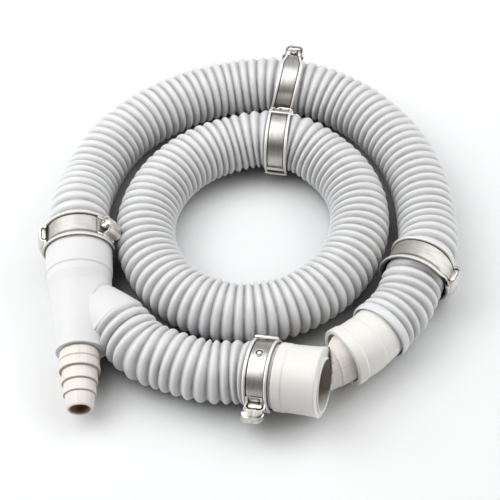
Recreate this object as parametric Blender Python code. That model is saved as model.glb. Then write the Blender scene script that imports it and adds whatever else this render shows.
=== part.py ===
# Corrugated drain hose laid in a flat coil: a closed inner ring, a longer outer turn, a wye with a
# stepped nozzle and a short front hose, an adapter with a notched spout, and five band clamps.
# Metres, +Z up. The coil lies on the floor at z = 0 and the origin ends up under its middle.

import bisect
import math

import bpy
import bmesh
from mathutils import Matrix, Vector

# Hose: rounded rings over a smooth bore
HOSE_RADIUS = 0.0150            # over the crests of the rings
GROOVE_DEPTH = 0.0018
HOSE_WALL = 0.0014              # from the bottom of a groove to the bore
RIB_PITCH = 0.0051
HOSE_SIDES = 12
BORE_STEP = 0.018               # spacing of the bore's rings
FIT_GAP = 0.0003                # between pieces that touch
HOSE_END_CUFF = 0.0024          # smooth ring at each cut end
JOINT_LENGTH = 0.0150           # how far a fitting's tail reaches into a hose

# Outline of the coil: the inner ring is a slightly oval circle, and the other hoses are placed by
# a bearing around it and the space left between its skin and theirs
RING_RADIUS = 0.0543            # to the middle of the hose
RING_OVAL = 0.0020
RING_OVAL_BEARING = 52.0
RING_STEPS = 24
RING_CLAMP_BEARING = 76.2
RING_CLAMP_TURN = 5.0           # its heading, off the ring's own
RING_COUPLER_LENGTH = 0.0100
OUTER_KNOTS_BEFORE_TOP = ((160.0, 0.0057), (140.0, 0.0082), (120.0, 0.0088), (100.0, 0.0100))
OUTER_TOP_CLAMP = (78.5, 0.0096, -9.5)      # bearing, space, heading
OUTER_KNOTS_AFTER_TOP = ((57.0, 0.0094), (40.0, 0.0067), (20.0, 0.0044), (2.0, 0.0037))
OUTER_RIGHT_CLAMP = (-20.6, 0.0042, -115.5)
OUTER_END = (-48.4, 0.0068, -131.0)
FRONT_KNOTS = ((-115.0, 0.0046), (-105.0, 0.0047))
FRONT_CLAMP = (-86.9, 0.0069, -14.5)
FRONT_TILT = 9.5                # how far the open cuff is tipped up, in degrees

# Band clamps
BAND_WIDTH = 0.0135             # at the wye and on the right
NARROW_BAND_WIDTH = 0.0114
BAND_THICKNESS = 0.0007
BAND_RIM = 0.0010               # height of the rolled rims over the band
BAND_RIM_WIDTH = 0.0014
BAND_STEP = 15.0                # degrees between the band's sections
LEFT_CLAMP_BEARING = 188.6
LEFT_CLAMP_SPACE = 0.0012       # between the left clamp and the ring
CLAMP_END_DISTANCE = 0.0070     # from a hose's end to the middle of its clamp
HOUSING_OVERHANG = 0.0008       # of the band's rims beyond the housing's feet
HOUSING_LENGTH = 0.0084
HOUSING_OPENING = 0.0072        # inside width of the arch
HOUSING_WALL = 0.0007
SCREW_RADIUS = 0.0018
SCREW_TIP = 0.0010              # how far the screw stands out of the arch
SCREW_HEAD_RADIUS = 0.0030
SCREW_HEAD_LENGTH = 0.0026
SCREW_SLOT_WIDTH = 0.0009
SCREW_SLOT_DEPTH = 0.0009
SCREW_SIDES = 8

# Wye: socket over the outer hose's end, tapered body and side branch
WYE_HEADING = -85.9
WYE_DROOP = 4.0
WYE_SOCKET_RADIUS = 0.0164
WYE_SOCKET_LENGTH = 0.0142
WYE_TAPER = ((0.0184, 0.0156), (0.0230, 0.0144), (0.0297, 0.0134), (0.0387, 0.0124))
WYE_END_RADIUS = 0.0113
WYE_LENGTH = 0.0567
WYE_BORE = 0.0090
WYE_SIDES = 20
BRANCH_ANGLE = 37.5
BRANCH_LIFT = 1.65
BRANCH_START = 0.0192           # where the branch's axis leaves the main one
BRANCH_LENGTH = 0.0302
BRANCH_COLLAR_RADIUS = 0.0147
BRANCH_COLLAR_LENGTH = 0.0075
BRANCH_NECK_RADIUS = 0.0137
BRANCH_TAIL_LENGTH = 0.0080     # reach into the front hose

# Stepped nozzle in the wye's end
NOZZLE_SIDES = 16
NOZZLE_WALL = 0.0015
NOZZLE_PLUG_LENGTH = 0.0100
NOZZLE_STEPS = ((0.0050, 0.0094, 0.0096), (0.0052, 0.0094, 0.0098), (0.0063, 0.0083, 0.0086),
                (0.0061, 0.0075, 0.0078), (0.0069, 0.0070, 0.0060))     # length, two radii
NOZZLE_MOUTH_BORE = 0.0048

# Open cuff on the front hose
CUFF_RING_RADIUS = 0.0161
CUFF_RING_LENGTH = 0.0046
CUFF_RADIUS = 0.0159
CUFF_MOUTH_RADIUS = 0.0165
CUFF_LENGTH = 0.0210
CUFF_BORE = 0.0118              # its bore lies low in the mouth
CUFF_BORE_DROP = 0.0025
CUFF_SIDES = 20

# Adapter and notched spout on the outer hose's end
INSERT_RADIUS = 0.0136
INSERT_DEPTH = 0.0030           # how far its wide part sits in the hose's lip
INSERT_LENGTH = 0.0080
ADAPTER_RADIUS = 0.0141
ADAPTER_COLLAR_START = 0.0172
ADAPTER_COLLAR_RADIUS = 0.0147
ADAPTER_LENGTH = 0.0225
ADAPTER_BEND = -16.0            # the adapter turns right by this much before its collar
LIP_WALL = 0.0011
SPOUT_RADIUS = 0.0115
SPOUT_WALL = 0.0018
SPOUT_PLUG_LENGTH = 0.0050
SPOUT_BEND = -6.0
SPOUT_LENGTH = 0.0140           # outside the adapter
SPOUT_CLEARANCE = 0.0009        # left by the notch around the open cuff
SPOUT_CUT_HEADING = -95.8       # way in which the mouth is cleared, up to the front
SPOUT_CUT_RISE = 58.4
SPOUT_CUT_LENGTH = 0.0300
ADAPTER_SIDES = 20

GROOVE_RADIUS = HOSE_RADIUS - GROOVE_DEPTH
BORE_RADIUS = GROOVE_RADIUS - HOSE_WALL
TAIL_RADIUS = BORE_RADIUS * math.cos(math.pi / HOSE_SIDES) - FIT_GAP
TAIL_BORE = WYE_BORE
BAND_INNER = HOSE_RADIUS + FIT_GAP
BAND_OUTER = BAND_INNER + BAND_THICKNESS
CLAMP_RADIUS = BAND_OUTER + BAND_RIM
LIP_BORE = (INSERT_RADIUS + FIT_GAP) / math.cos(math.pi / HOSE_SIDES)
LIP_RADIUS = LIP_BORE + LIP_WALL

for leftover in list(bpy.data.objects):
    bpy.data.objects.remove(leftover, do_unlink=True)


def make_material(name, colour, roughness, metallic=0.0):
    material = bpy.data.materials.new(name)
    material.use_nodes = True
    shader = material.node_tree.nodes["Principled BSDF"]
    shader.inputs["Base Color"].default_value = (*colour, 1.0)
    shader.inputs["Roughness"].default_value = roughness
    shader.inputs["Metallic"].default_value = metallic
    return material


MATERIALS = {
    "hose": make_material("grey_hose_plastic", (0.70, 0.71, 0.73), 0.42),
    "white": make_material("white_fitting_plastic", (0.84, 0.84, 0.83), 0.38),
    "cream": make_material("cream_fitting_plastic", (0.82, 0.79, 0.74), 0.40),
    "steel": make_material("stainless_steel", (0.62, 0.61, 0.58), 0.28, 1.0),
}

coil = bpy.data.objects.new("coil_frame", None)
bpy.context.scene.collection.objects.link(coil)


def heading_vector(heading, rise=0.0):
    """Unit vector from a compass-like angle around +X and a rise, both in degrees."""
    turn = math.radians(heading)
    tilt = math.radians(rise)
    return Vector((math.cos(turn) * math.cos(tilt), math.sin(turn) * math.cos(tilt), math.sin(tilt)))


def frame_at(centre, direction):
    """Matrix with +X along the direction and +Z as far up as it can be."""
    forward = direction.normalized()
    left = Vector((0, 0, 1)).cross(forward).normalized()
    up = forward.cross(left)
    frame = Matrix((forward, left, up)).transposed().to_4x4()
    frame.translation = centre
    return frame


def ring_centre_radius(bearing):
    return RING_RADIUS + RING_OVAL * math.cos(2.0 * math.radians(bearing - RING_OVAL_BEARING))


def beside_ring(bearing, space, height=HOSE_RADIUS):
    """Point on a hose that runs round the inner ring with this space between their skins."""
    reach = ring_centre_radius(bearing) + 2.0 * HOSE_RADIUS + space
    return heading_vector(bearing) * reach + Vector((0, 0, height))


def straight_stretch(centre, direction, before, after):
    """Two knots that keep a route straight around a point."""
    return [(centre - direction * before, direction), (centre + direction * after, direction)]


class Route:
    """Smooth curve through knots, measured along its own length.

    A knot is a point and a direction. Where the direction is None it follows the neighbours in
    plan and is level, so that a rise over a clamp doesn't dip below the floor beside it.
    """

    STEPS = 24

    def __init__(self, knots):
        points = [point for point, direction in knots]
        directions = [direction for point, direction in knots]
        for i in range(1, len(knots) - 1):
            if directions[i] is None:
                before = points[i] - points[i - 1]
                after = points[i + 1] - points[i]
                blend = before / before.length * after.length + after / after.length * before.length
                directions[i] = Vector((blend.x, blend.y, 0.0)).normalized()
        self.places = [points[0]]
        self.headings = [directions[0]]
        self.stations = [0.0]
        for i in range(len(points) - 1):
            start, end = points[i], points[i + 1]
            reach = (end - start).length
            pull_start, pull_end = directions[i] * reach, directions[i + 1] * reach
            for j in range(1, self.STEPS + 1):
                t = j / self.STEPS
                place = (start * (2 * t**3 - 3 * t**2 + 1) + pull_start * (t**3 - 2 * t**2 + t)
                         + end * (3 * t**2 - 2 * t**3) + pull_end * (t**3 - t**2))
                heading = (start * (6 * t**2 - 6 * t) + pull_start * (3 * t**2 - 4 * t + 1)
                           + end * (6 * t - 6 * t**2) + pull_end * (3 * t**2 - 2 * t))
                self.stations.append(self.stations[-1] + (place - self.places[-1]).length)
                self.places.append(place)
                self.headings.append(heading.normalized())
        self.length = self.stations[-1]

    def frame(self, station):
        i = min(max(bisect.bisect_right(self.stations, station) - 1, 0), len(self.stations) - 2)
        step = self.stations[i + 1] - self.stations[i]
        t = (station - self.stations[i]) / step
        place = self.places[i].lerp(self.places[i + 1], t)
        heading = self.headings[i].lerp(self.headings[i + 1], min(max(t, 0.0), 1.0))
        return frame_at(place, heading)


def straight_frame(station):
    return Matrix.Translation((station, 0.0, 0.0))


def tube_mesh(name, frame, rings, sides):
    """Closed wall through rings of (station, radius, rise): out along the outside, back inside.

    A rise lifts a ring's centre off the axis, for a bore that isn't in the middle.
    """
    mesh = bmesh.new()
    loops = []
    for ring in rings:
        station, radius = ring[0], ring[1]
        rise = ring[2] if len(ring) > 2 else 0.0
        place = frame(station)
        loop = []
        for k in range(sides):
            angle = 2.0 * math.pi * k / sides - math.pi / 2.0
            left, up = -radius * math.cos(angle), radius * math.sin(angle)
            loop.append(mesh.verts.new(place @ Vector((0.0, left, up + rise))))
        loops.append(loop)
    for i, loop in enumerate(loops):
        following = loops[(i + 1) % len(loops)]
        for k in range(sides):
            m = (k + 1) % sides
            mesh.faces.new((loop[k], following[k], following[m], loop[m]))
    return finish_mesh(mesh, name)


def finish_mesh(mesh, name):
    data = bpy.data.meshes.new(name)
    mesh.to_mesh(data)
    mesh.free()
    return data


def add_object(name, data, material, frame=None, sharp=35.0):
    item = bpy.data.objects.new(name, data)
    bpy.context.scene.collection.objects.link(item)
    item.parent = coil
    if frame is not None:
        item.location = frame.to_translation()
        item.rotation_euler = frame.to_euler()
    data.materials.clear()
    data.materials.append(MATERIALS[material])
    data.shade_smooth()
    data.set_sharp_from_angle(angle=math.radians(sharp))
    return item


def add_guide(name, data, parent, frame=None):
    """Body that only shapes another one and isn't part of the hose."""
    data.shade_smooth()
    data.set_sharp_from_angle(angle=math.radians(35.0))
    guide = bpy.data.objects.new(name, data)
    bpy.context.scene.collection.objects.link(guide)
    guide.parent = parent
    if frame is not None:
        guide.location = frame.to_translation()
        guide.rotation_euler = frame.to_euler()
    guide.hide_render = True
    guide.display_type = "WIRE"
    return guide


def combine(item, other, operation):
    modifier = item.modifiers.new(other.name, "BOOLEAN")
    modifier.operation = operation
    modifier.solver = "EXACT"
    modifier.object = other


def spread(start, end, step):
    """Stations from start to end, evenly spaced and about one step apart."""
    count = max(1, round((end - start) / step))
    return [start + (end - start) * i / count for i in range(count + 1)]


def hose_rings(length, joints, lip=False, from_groove=False):
    """Rings of one hose: a smooth cuff at each end, crests and grooves between, then the bore.

    The joints are the straight lengths at its two ends. A hose that carries on the rings of a
    moulded boot starts in a groove, with no cuff.
    """
    rib_start, rib_end = HOSE_END_CUFF, length - HOSE_END_CUFF
    rings = [(0.0, HOSE_RADIUS), (rib_start, HOSE_RADIUS)]
    if from_groove:
        rib_start = RIB_PITCH / 2.0
        rings = [(0.0, GROOVE_RADIUS), (rib_start, HOSE_RADIUS)]
    if lip:
        rib_end = length - INSERT_DEPTH - 2.0 * LIP_WALL
    count = round((rib_end - rib_start) / RIB_PITCH)
    pitch = (rib_end - rib_start) / count
    for i in range(count):
        start = rib_start + i * pitch
        rings.append((start + pitch / 2.0, GROOVE_RADIUS))
        rings.append((start + pitch, HOSE_RADIUS))
    bore_end = length
    if lip:
        bore_end = length - INSERT_DEPTH - 2.0 * FIT_GAP
        rings += [(bore_end - LIP_WALL, LIP_RADIUS), (length, LIP_RADIUS),
                  (length, LIP_BORE), (bore_end, LIP_BORE)]
    else:
        rings.append((length, HOSE_RADIUS))
    bore = [0.0, *spread(joints[0], length - joints[1], BORE_STEP), bore_end]
    rings += [(station, BORE_RADIUS) for station in reversed(bore)]
    return rings


def make_hose(name, route, joints, lip=False, from_groove=False):
    rings = hose_rings(route.length, joints, lip, from_groove)
    return add_object(name, tube_mesh(name, route.frame, rings, HOSE_SIDES), "hose", sharp=50.0)


def make_fitting(name, rings, sides, material, frame):
    return add_object(name, tube_mesh(name, straight_frame, rings, sides), material, frame)


def make_inner_ring():
    """Closed ring of hose: its two ends meet on a straight coupler under the clamp."""
    centre = heading_vector(RING_CLAMP_BEARING) * ring_centre_radius(RING_CLAMP_BEARING)
    centre.z = CLAMP_RADIUS
    direction = heading_vector(RING_CLAMP_BEARING - 90.0 + RING_CLAMP_TURN)
    half = RING_COUPLER_LENGTH / 2.0
    knots = [(centre + direction * FIT_GAP / 2.0, direction), (centre + direction * half, direction)]
    for i in range(2, RING_STEPS - 1):
        bearing = RING_CLAMP_BEARING - 360.0 * i / RING_STEPS
        knots.append((heading_vector(bearing) * ring_centre_radius(bearing)
                      + Vector((0, 0, HOSE_RADIUS)), None))
    knots += [(centre - direction * half, direction), (centre - direction * FIT_GAP / 2.0, direction)]
    make_hose("inner_hose", Route(knots), (half, half))
    rings = [(-half, TAIL_RADIUS), (half, TAIL_RADIUS), (half, TAIL_BORE), (-half, TAIL_BORE)]
    make_fitting("ring_coupler", rings, HOSE_SIDES, "white", frame_at(centre, direction))
    return frame_at(centre, direction)


def wye_frame():
    """The wye lies on its socket's edge, and its clamp stands just beside the inner ring."""
    axis = heading_vector(WYE_HEADING, -WYE_DROOP)
    droop = math.radians(WYE_DROOP)
    height = (WYE_SOCKET_RADIUS * math.cos(droop)
              + (WYE_SOCKET_LENGTH + CLAMP_END_DISTANCE) * math.sin(droop))
    apart = HOSE_RADIUS + CLAMP_RADIUS + LEFT_CLAMP_SPACE
    across = math.sqrt(apart ** 2 - (height - HOSE_RADIUS) ** 2)
    clamp = heading_vector(LEFT_CLAMP_BEARING) * (ring_centre_radius(LEFT_CLAMP_BEARING) + across)
    clamp.z = height
    return frame_at(clamp + axis * CLAMP_END_DISTANCE, axis), frame_at(clamp, -axis)


def make_wye(frame):
    """One moulding: tail, socket ring, tapered body and a side branch, bored through."""
    lip = 0.0004
    core = WYE_BORE / 2.0
    rings = [(-JOINT_LENGTH, TAIL_RADIUS), (FIT_GAP, TAIL_RADIUS),
             (FIT_GAP, WYE_SOCKET_RADIUS - lip), (FIT_GAP + lip, WYE_SOCKET_RADIUS),
             (WYE_SOCKET_LENGTH, WYE_SOCKET_RADIUS),
             (WYE_SOCKET_LENGTH + lip, WYE_SOCKET_RADIUS - lip), *WYE_TAPER,
             (WYE_LENGTH, WYE_END_RADIUS), (WYE_LENGTH, core), (-JOINT_LENGTH, core)]
    wye = make_fitting("wye_body", rings, WYE_SIDES, "white", frame)

    branch = branch_frame()
    collar = BRANCH_LENGTH - BRANCH_COLLAR_LENGTH
    start = core / math.tan(math.radians(BRANCH_ANGLE))
    boot_end = BRANCH_LENGTH + 1.5 * RIB_PITCH
    outside = [(start, core), (start, BRANCH_NECK_RADIUS * 0.6),
               (collar, BRANCH_NECK_RADIUS), (collar + lip, BRANCH_COLLAR_RADIUS),
               (BRANCH_LENGTH, BRANCH_COLLAR_RADIUS),
               (BRANCH_LENGTH + 0.5 * RIB_PITCH, GROOVE_RADIUS),
               (BRANCH_LENGTH + RIB_PITCH, HOSE_RADIUS), (boot_end, GROOVE_RADIUS),
               (boot_end, TAIL_RADIUS), (boot_end + BRANCH_TAIL_LENGTH, TAIL_RADIUS),
               (boot_end + BRANCH_TAIL_LENGTH, core)]
    arm = add_guide("wye_branch_guide", tube_mesh("wye_branch_guide", straight_frame, outside,
                                                  WYE_SIDES), wye, branch)
    main_bore = add_guide("wye_main_bore", rod_mesh("wye_main_bore", -2.0 * JOINT_LENGTH,
                                                    2.0 * WYE_LENGTH, WYE_BORE, NOZZLE_SIDES), wye)
    side_bore = add_guide("wye_side_bore", rod_mesh("wye_side_bore", 0.0, 3.0 * BRANCH_LENGTH,
                                                    WYE_BORE, NOZZLE_SIDES), wye, branch)
    combine(wye, arm, "UNION")
    combine(wye, main_bore, "DIFFERENCE")
    combine(wye, side_bore, "DIFFERENCE")
    return frame @ branch @ Matrix.Translation((boot_end + FIT_GAP, 0.0, 0.0))


def branch_frame():
    """The branch's own frame, seen from the wye: to the left of its axis and slightly up."""
    return frame_at(Vector((BRANCH_START, 0.0, 0.0)), heading_vector(BRANCH_ANGLE, BRANCH_LIFT))


def rod_mesh(name, start, end, radius, sides):
    mesh = bmesh.new()
    loops = []
    for station in (start, end):
        loops.append([mesh.verts.new((station, radius * math.sin(2 * math.pi * k / sides),
                                      radius * math.cos(2 * math.pi * k / sides)))
                      for k in range(sides)])
    for k in range(sides):
        m = (k + 1) % sides
        mesh.faces.new((loops[0][k], loops[0][m], loops[1][m], loops[1][k]))
    mesh.faces.new(loops[0])
    mesh.faces.new(loops[1])
    bmesh.ops.recalc_face_normals(mesh, faces=mesh.faces)
    return finish_mesh(mesh, name)


def prism_mesh(name, radius, slant, sides):
    """Slanted prism on a circle round the axis, from just behind its plane along the slant."""
    mesh = bmesh.new()
    behind = -0.0015
    loops = []
    for offset in (Vector((behind, 0.0, 0.0)), slant):
        loops.append([mesh.verts.new(offset + Vector((0.0, radius * math.sin(2 * math.pi * k / sides),
                                                      radius * math.cos(2 * math.pi * k / sides))))
                      for k in range(sides)])
    for k in range(sides):
        m = (k + 1) % sides
        mesh.faces.new((loops[0][k], loops[0][m], loops[1][m], loops[1][k]))
    mesh.faces.new(loops[0])
    mesh.faces.new(loops[1])
    bmesh.ops.recalc_face_normals(mesh, faces=mesh.faces)
    return finish_mesh(mesh, name)


def make_nozzle(frame):
    """Barbed nozzle: each step flares slightly towards its own edge, and the mouth is open."""
    edge = 0.0004
    plug = (WYE_BORE - FIT_GAP) * math.cos(math.pi / NOZZLE_SIDES)
    station = FIT_GAP
    rings = [(-NOZZLE_PLUG_LENGTH, plug), (station, plug)]
    for length, first, last in NOZZLE_STEPS:
        rings += [(station, first), (station + length - edge, last),
                  (station + length, last - edge)]
        station += length
    wide = plug - NOZZLE_WALL
    narrow_from = FIT_GAP + NOZZLE_STEPS[0][0] + NOZZLE_STEPS[1][0]
    rings += [(station, NOZZLE_MOUTH_BORE), (narrow_from, NOZZLE_MOUTH_BORE),
              (narrow_from - NOZZLE_WALL, wide), (-NOZZLE_PLUG_LENGTH, wide)]
    place = frame @ Matrix.Translation((WYE_LENGTH, 0.0, 0.0))
    make_fitting("stepped_nozzle", rings, NOZZLE_SIDES, "cream", place)


def make_cuff(frame):
    """Open cuff: tail in the hose, a narrow ring against the clamp, then a flared socket.

    Its bore lies low, so that the wall is thick above and thin below.
    """
    edge = 0.0005
    ring_end = FIT_GAP + CUFF_RING_LENGTH
    rings = [(-JOINT_LENGTH, TAIL_RADIUS), (FIT_GAP, TAIL_RADIUS),
             (FIT_GAP, CUFF_RING_RADIUS - edge), (FIT_GAP + edge, CUFF_RING_RADIUS),
             (ring_end, CUFF_RING_RADIUS), (ring_end + edge, CUFF_RADIUS),
             (CUFF_LENGTH - edge, CUFF_MOUTH_RADIUS), (CUFF_LENGTH, CUFF_MOUTH_RADIUS - edge),
             (CUFF_LENGTH, CUFF_BORE + edge, -CUFF_BORE_DROP),
             (CUFF_LENGTH - edge, CUFF_BORE, -CUFF_BORE_DROP),
             (ring_end + CUFF_BORE_DROP, CUFF_BORE, -CUFF_BORE_DROP), (ring_end, TAIL_BORE),
             (-JOINT_LENGTH, TAIL_BORE)]
    make_fitting("open_cuff", rings, CUFF_SIDES, "white", frame)
    return frame @ Matrix.Translation((CUFF_LENGTH, 0.0, 0.0))


def axis_of(frame):
    return (frame.to_3x3() @ Vector((1.0, 0.0, 0.0))).normalized()


def bent_route(frame, lead, bend_length, turn, tail):
    """Straight lead up to the frame, an even bend in plan after it, then a straight tail."""
    place, first = frame.to_translation(), axis_of(frame)
    angle = math.radians(turn)
    chord = bend_length / angle * 2.0 * math.sin(angle / 2.0)
    second = Matrix.Rotation(angle, 3, "Z") @ first
    middle = Matrix.Rotation(angle / 2.0, 3, "Z") @ first
    corner = place + middle * chord
    return Route([(place - first * lead, first), (place, first), (corner, second),
                  (corner + second * tail, second)])


def make_adapter(frame):
    """Insert tube that sits in the hose's lip, bends a little and ends in a stepped collar."""
    edge = 0.0005
    route = bent_route(frame, JOINT_LENGTH, ADAPTER_COLLAR_START, ADAPTER_BEND,
                       ADAPTER_LENGTH - ADAPTER_COLLAR_START)
    socket = (SPOUT_RADIUS + FIT_GAP) / math.cos(math.pi / ADAPTER_SIDES)
    socket_end = ADAPTER_LENGTH - SPOUT_PLUG_LENGTH - FIT_GAP
    rings = [(-JOINT_LENGTH, TAIL_RADIUS), (-INSERT_DEPTH, TAIL_RADIUS),
             (-INSERT_DEPTH, INSERT_RADIUS), (0.0, INSERT_RADIUS), (INSERT_LENGTH, INSERT_RADIUS),
             (INSERT_LENGTH + edge, ADAPTER_RADIUS), (ADAPTER_COLLAR_START, ADAPTER_RADIUS),
             (ADAPTER_COLLAR_START + edge, ADAPTER_COLLAR_RADIUS),
             (ADAPTER_LENGTH, ADAPTER_COLLAR_RADIUS), (ADAPTER_LENGTH, socket),
             (socket_end, socket), (socket_end, TAIL_BORE), (INSERT_LENGTH, TAIL_BORE),
             (0.0, TAIL_BORE), (-JOINT_LENGTH, TAIL_BORE)]
    rings = [(station + JOINT_LENGTH, radius) for station, radius in rings]
    add_object("end_adapter", tube_mesh("end_adapter", route.frame, rings, ADAPTER_SIDES), "white")
    return route.frame(route.length)


def make_spout(frame, mouth):
    """Short bent tube plugged into the adapter, notched where it passes the open cuff.

    It is also cut clear of the cuff's mouth, slantwise up to the front, so that the whole rim
    stays open to view.
    """
    bend = SPOUT_RADIUS * 0.25
    route = bent_route(frame, SPOUT_PLUG_LENGTH, bend, SPOUT_BEND, SPOUT_LENGTH - bend)
    inside = SPOUT_RADIUS - SPOUT_WALL
    corner = SPOUT_PLUG_LENGTH + bend / 2.0
    rings = [(0.0, SPOUT_RADIUS), (corner, SPOUT_RADIUS), (route.length, SPOUT_RADIUS),
             (route.length, inside), (corner, inside), (0.0, inside)]
    spout = add_object("outlet_spout", tube_mesh("outlet_spout", route.frame, rings, ADAPTER_SIDES),
                       "cream")
    notch = rod_mesh("spout_notch", -2.0 * CUFF_LENGTH, SPOUT_CLEARANCE,
                     CUFF_MOUTH_RADIUS + SPOUT_CLEARANCE, 2 * CUFF_SIDES)
    combine(spout, add_guide("spout_notch", notch, coil, mouth), "DIFFERENCE")
    slant = mouth.to_3x3().inverted() @ heading_vector(SPOUT_CUT_HEADING, SPOUT_CUT_RISE)
    clear = prism_mesh("spout_clear", CUFF_MOUTH_RADIUS + SPOUT_CLEARANCE / 2.0,
                       slant * SPOUT_CUT_LENGTH, 2 * CUFF_SIDES)
    combine(spout, add_guide("spout_clear", clear, coil, mouth), "DIFFERENCE")


def band_sections(housing_angle, width):
    """Angle, radius, half width and rim height round the band, with its end on top of its start."""
    start = housing_angle - 22.0
    lift_from, lift_to = start + 326.0, start + 354.0
    end = housing_angle + 360.0 + 24.0
    tail_half = width / 2.0 - BAND_RIM_WIDTH - FIT_GAP
    first_step = math.ceil(start / BAND_STEP + 0.2) * BAND_STEP
    angles = [start]
    angle = first_step
    while angle < end - 0.2 * BAND_STEP:
        angles.append(angle)
        angle += BAND_STEP
    angles.append(end)
    sections = []
    for angle in angles:
        share = min(max((angle - lift_from) / (lift_to - lift_from), 0.0), 1.0)
        share = share * share * (3.0 - 2.0 * share)
        sections.append((angle, BAND_INNER + share * (BAND_THICKNESS + FIT_GAP),
                         width / 2.0 + share * (tail_half - width / 2.0),
                         BAND_RIM + share * (0.1 * BAND_RIM - BAND_RIM)))
    return sections


def make_band(name, frame, housing_angle, width):
    """Steel strip with rolled rims, wound once round the hose."""
    mesh = bmesh.new()
    loops = []
    for angle, inner, half, rim in band_sections(housing_angle, width):
        outer = inner + BAND_THICKNESS
        profile = ((-half, inner), (half, inner), (half, outer + rim),
                   (half - BAND_RIM_WIDTH, outer + rim), (half - BAND_RIM_WIDTH, outer),
                   (-half + BAND_RIM_WIDTH, outer), (-half + BAND_RIM_WIDTH, outer + rim),
                   (-half, outer + rim))
        turn = math.radians(angle)
        loops.append([mesh.verts.new((along, -radius * math.cos(turn), radius * math.sin(turn)))
                      for along, radius in profile])
    count = len(loops[0])
    for first, second in zip(loops, loops[1:]):
        for k in range(count):
            m = (k + 1) % count
            mesh.faces.new((first[k], first[m], second[m], second[k]))
    mesh.faces.new(loops[0])
    mesh.faces.new(loops[-1])
    bmesh.ops.recalc_face_normals(mesh, faces=mesh.faces)
    return add_object(name, finish_mesh(mesh, name), "steel", frame)


def clamp_seat(frame, angle):
    """Frame on top of the band: +X along the hose, +Y round the band, +Z outwards."""
    turn = math.radians(angle)
    outwards = Vector((0.0, -math.cos(turn), math.sin(turn)))
    around = Vector((0.0, math.sin(turn), math.cos(turn)))
    local = Matrix(((1, 0, 0), around, outwards)).transposed()
    seat = local.to_4x4()
    seat.translation = outwards * (CLAMP_RADIUS + FIT_GAP)
    return frame @ seat


def make_housing(name, seat, width):
    """Arched bridge of folded steel with two feet on the band's rims."""
    inside = HOUSING_OPENING / 2.0
    height = 2.0 * SCREW_RADIUS + 2.0 * FIT_GAP
    round_in = inside * 0.45
    foot = width / 2.0 - HOUSING_OVERHANG
    round_out = round_in + HOUSING_WALL

    def arch(half, top, corner):
        points = []
        for centre, first in ((half - corner, 0.0), (-half + corner, 90.0)):
            for k in range(3):
                angle = math.radians(first + 45.0 * k)
                points.append((centre + corner * math.cos(angle),
                               top - corner + corner * math.sin(angle)))
        return points

    outline = [(-foot, 0.0), (-inside, 0.0)] + arch(inside, height, round_in)[::-1]
    outline += [(inside, 0.0), (foot, 0.0), (foot, HOUSING_WALL)]
    outline += [(inside + HOUSING_WALL, HOUSING_WALL)]
    outline += arch(inside + HOUSING_WALL, height + HOUSING_WALL, round_out)
    outline += [(-inside - HOUSING_WALL, HOUSING_WALL), (-foot, HOUSING_WALL)]
    mesh = bmesh.new()
    near = [mesh.verts.new((x, -HOUSING_LENGTH / 2.0, z)) for x, z in outline]
    far = [mesh.verts.new((x, HOUSING_LENGTH / 2.0, z)) for x, z in outline]
    for k in range(len(outline)):
        m = (k + 1) % len(outline)
        mesh.faces.new((near[k], near[m], far[m], far[k]))
    mesh.faces.new(near)
    mesh.faces.new(far)
    bmesh.ops.recalc_face_normals(mesh, faces=mesh.faces)
    return add_object(name, finish_mesh(mesh, name), "steel", seat)


def screw_mesh():
    """Screw along +X from its tip: plain shank and a round head with a slot."""
    axis_radius = CLAMP_RADIUS + 2.0 * FIT_GAP + SCREW_RADIUS
    clear = axis_radius - SCREW_HEAD_RADIUS - FIT_GAP
    head_start = math.sqrt(max(CLAMP_RADIUS ** 2 - clear ** 2, 0.0))
    head_start = max(head_start, HOUSING_LENGTH / 2.0 + FIT_GAP)
    head_end = head_start + SCREW_HEAD_LENGTH
    mesh = bmesh.new()
    loops = []
    bevel = 0.15 * SCREW_HEAD_RADIUS
    for station, radius in ((-HOUSING_LENGTH / 2.0 - SCREW_TIP, 0.8 * SCREW_RADIUS),
                            (-HOUSING_LENGTH / 2.0, SCREW_RADIUS), (head_start, SCREW_RADIUS),
                            (head_start, SCREW_HEAD_RADIUS), (head_end - bevel, SCREW_HEAD_RADIUS),
                            (head_end, SCREW_HEAD_RADIUS - bevel)):
        loops.append([mesh.verts.new((station, radius * math.sin(2.0 * math.pi * k / SCREW_SIDES),
                                      radius * math.cos(2.0 * math.pi * k / SCREW_SIDES)))
                      for k in range(SCREW_SIDES)])
    for first, second in zip(loops, loops[1:]):
        for k in range(SCREW_SIDES):
            m = (k + 1) % SCREW_SIDES
            mesh.faces.new((first[k], first[m], second[m], second[k]))
    mesh.faces.new(loops[0])
    mesh.faces.new(loops[-1])
    bmesh.ops.recalc_face_normals(mesh, faces=mesh.faces)
    blank = add_guide("screw_blank", finish_mesh(mesh, "screw_blank"), coil)
    slot = add_guide("screw_slot", slot_mesh(head_end), coil)
    combine(blank, slot, "DIFFERENCE")
    bpy.context.view_layer.update()
    cut = blank.evaluated_get(bpy.context.evaluated_depsgraph_get())
    data = bpy.data.meshes.new_from_object(cut)
    bpy.data.objects.remove(blank, do_unlink=True)
    bpy.data.objects.remove(slot, do_unlink=True)
    return data


def slot_mesh(head_end):
    """Bar that sinks the slot into a screw's head."""
    mesh = bmesh.new()
    bmesh.ops.create_cube(mesh, size=1.0)
    size = (2.0 * SCREW_SLOT_DEPTH, 4.0 * SCREW_HEAD_RADIUS, SCREW_SLOT_WIDTH)
    bmesh.ops.scale(mesh, verts=mesh.verts, vec=size)
    bmesh.ops.translate(mesh, verts=mesh.verts, vec=(head_end, 0.0, 0.0))
    return finish_mesh(mesh, "screw_slot")


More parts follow.
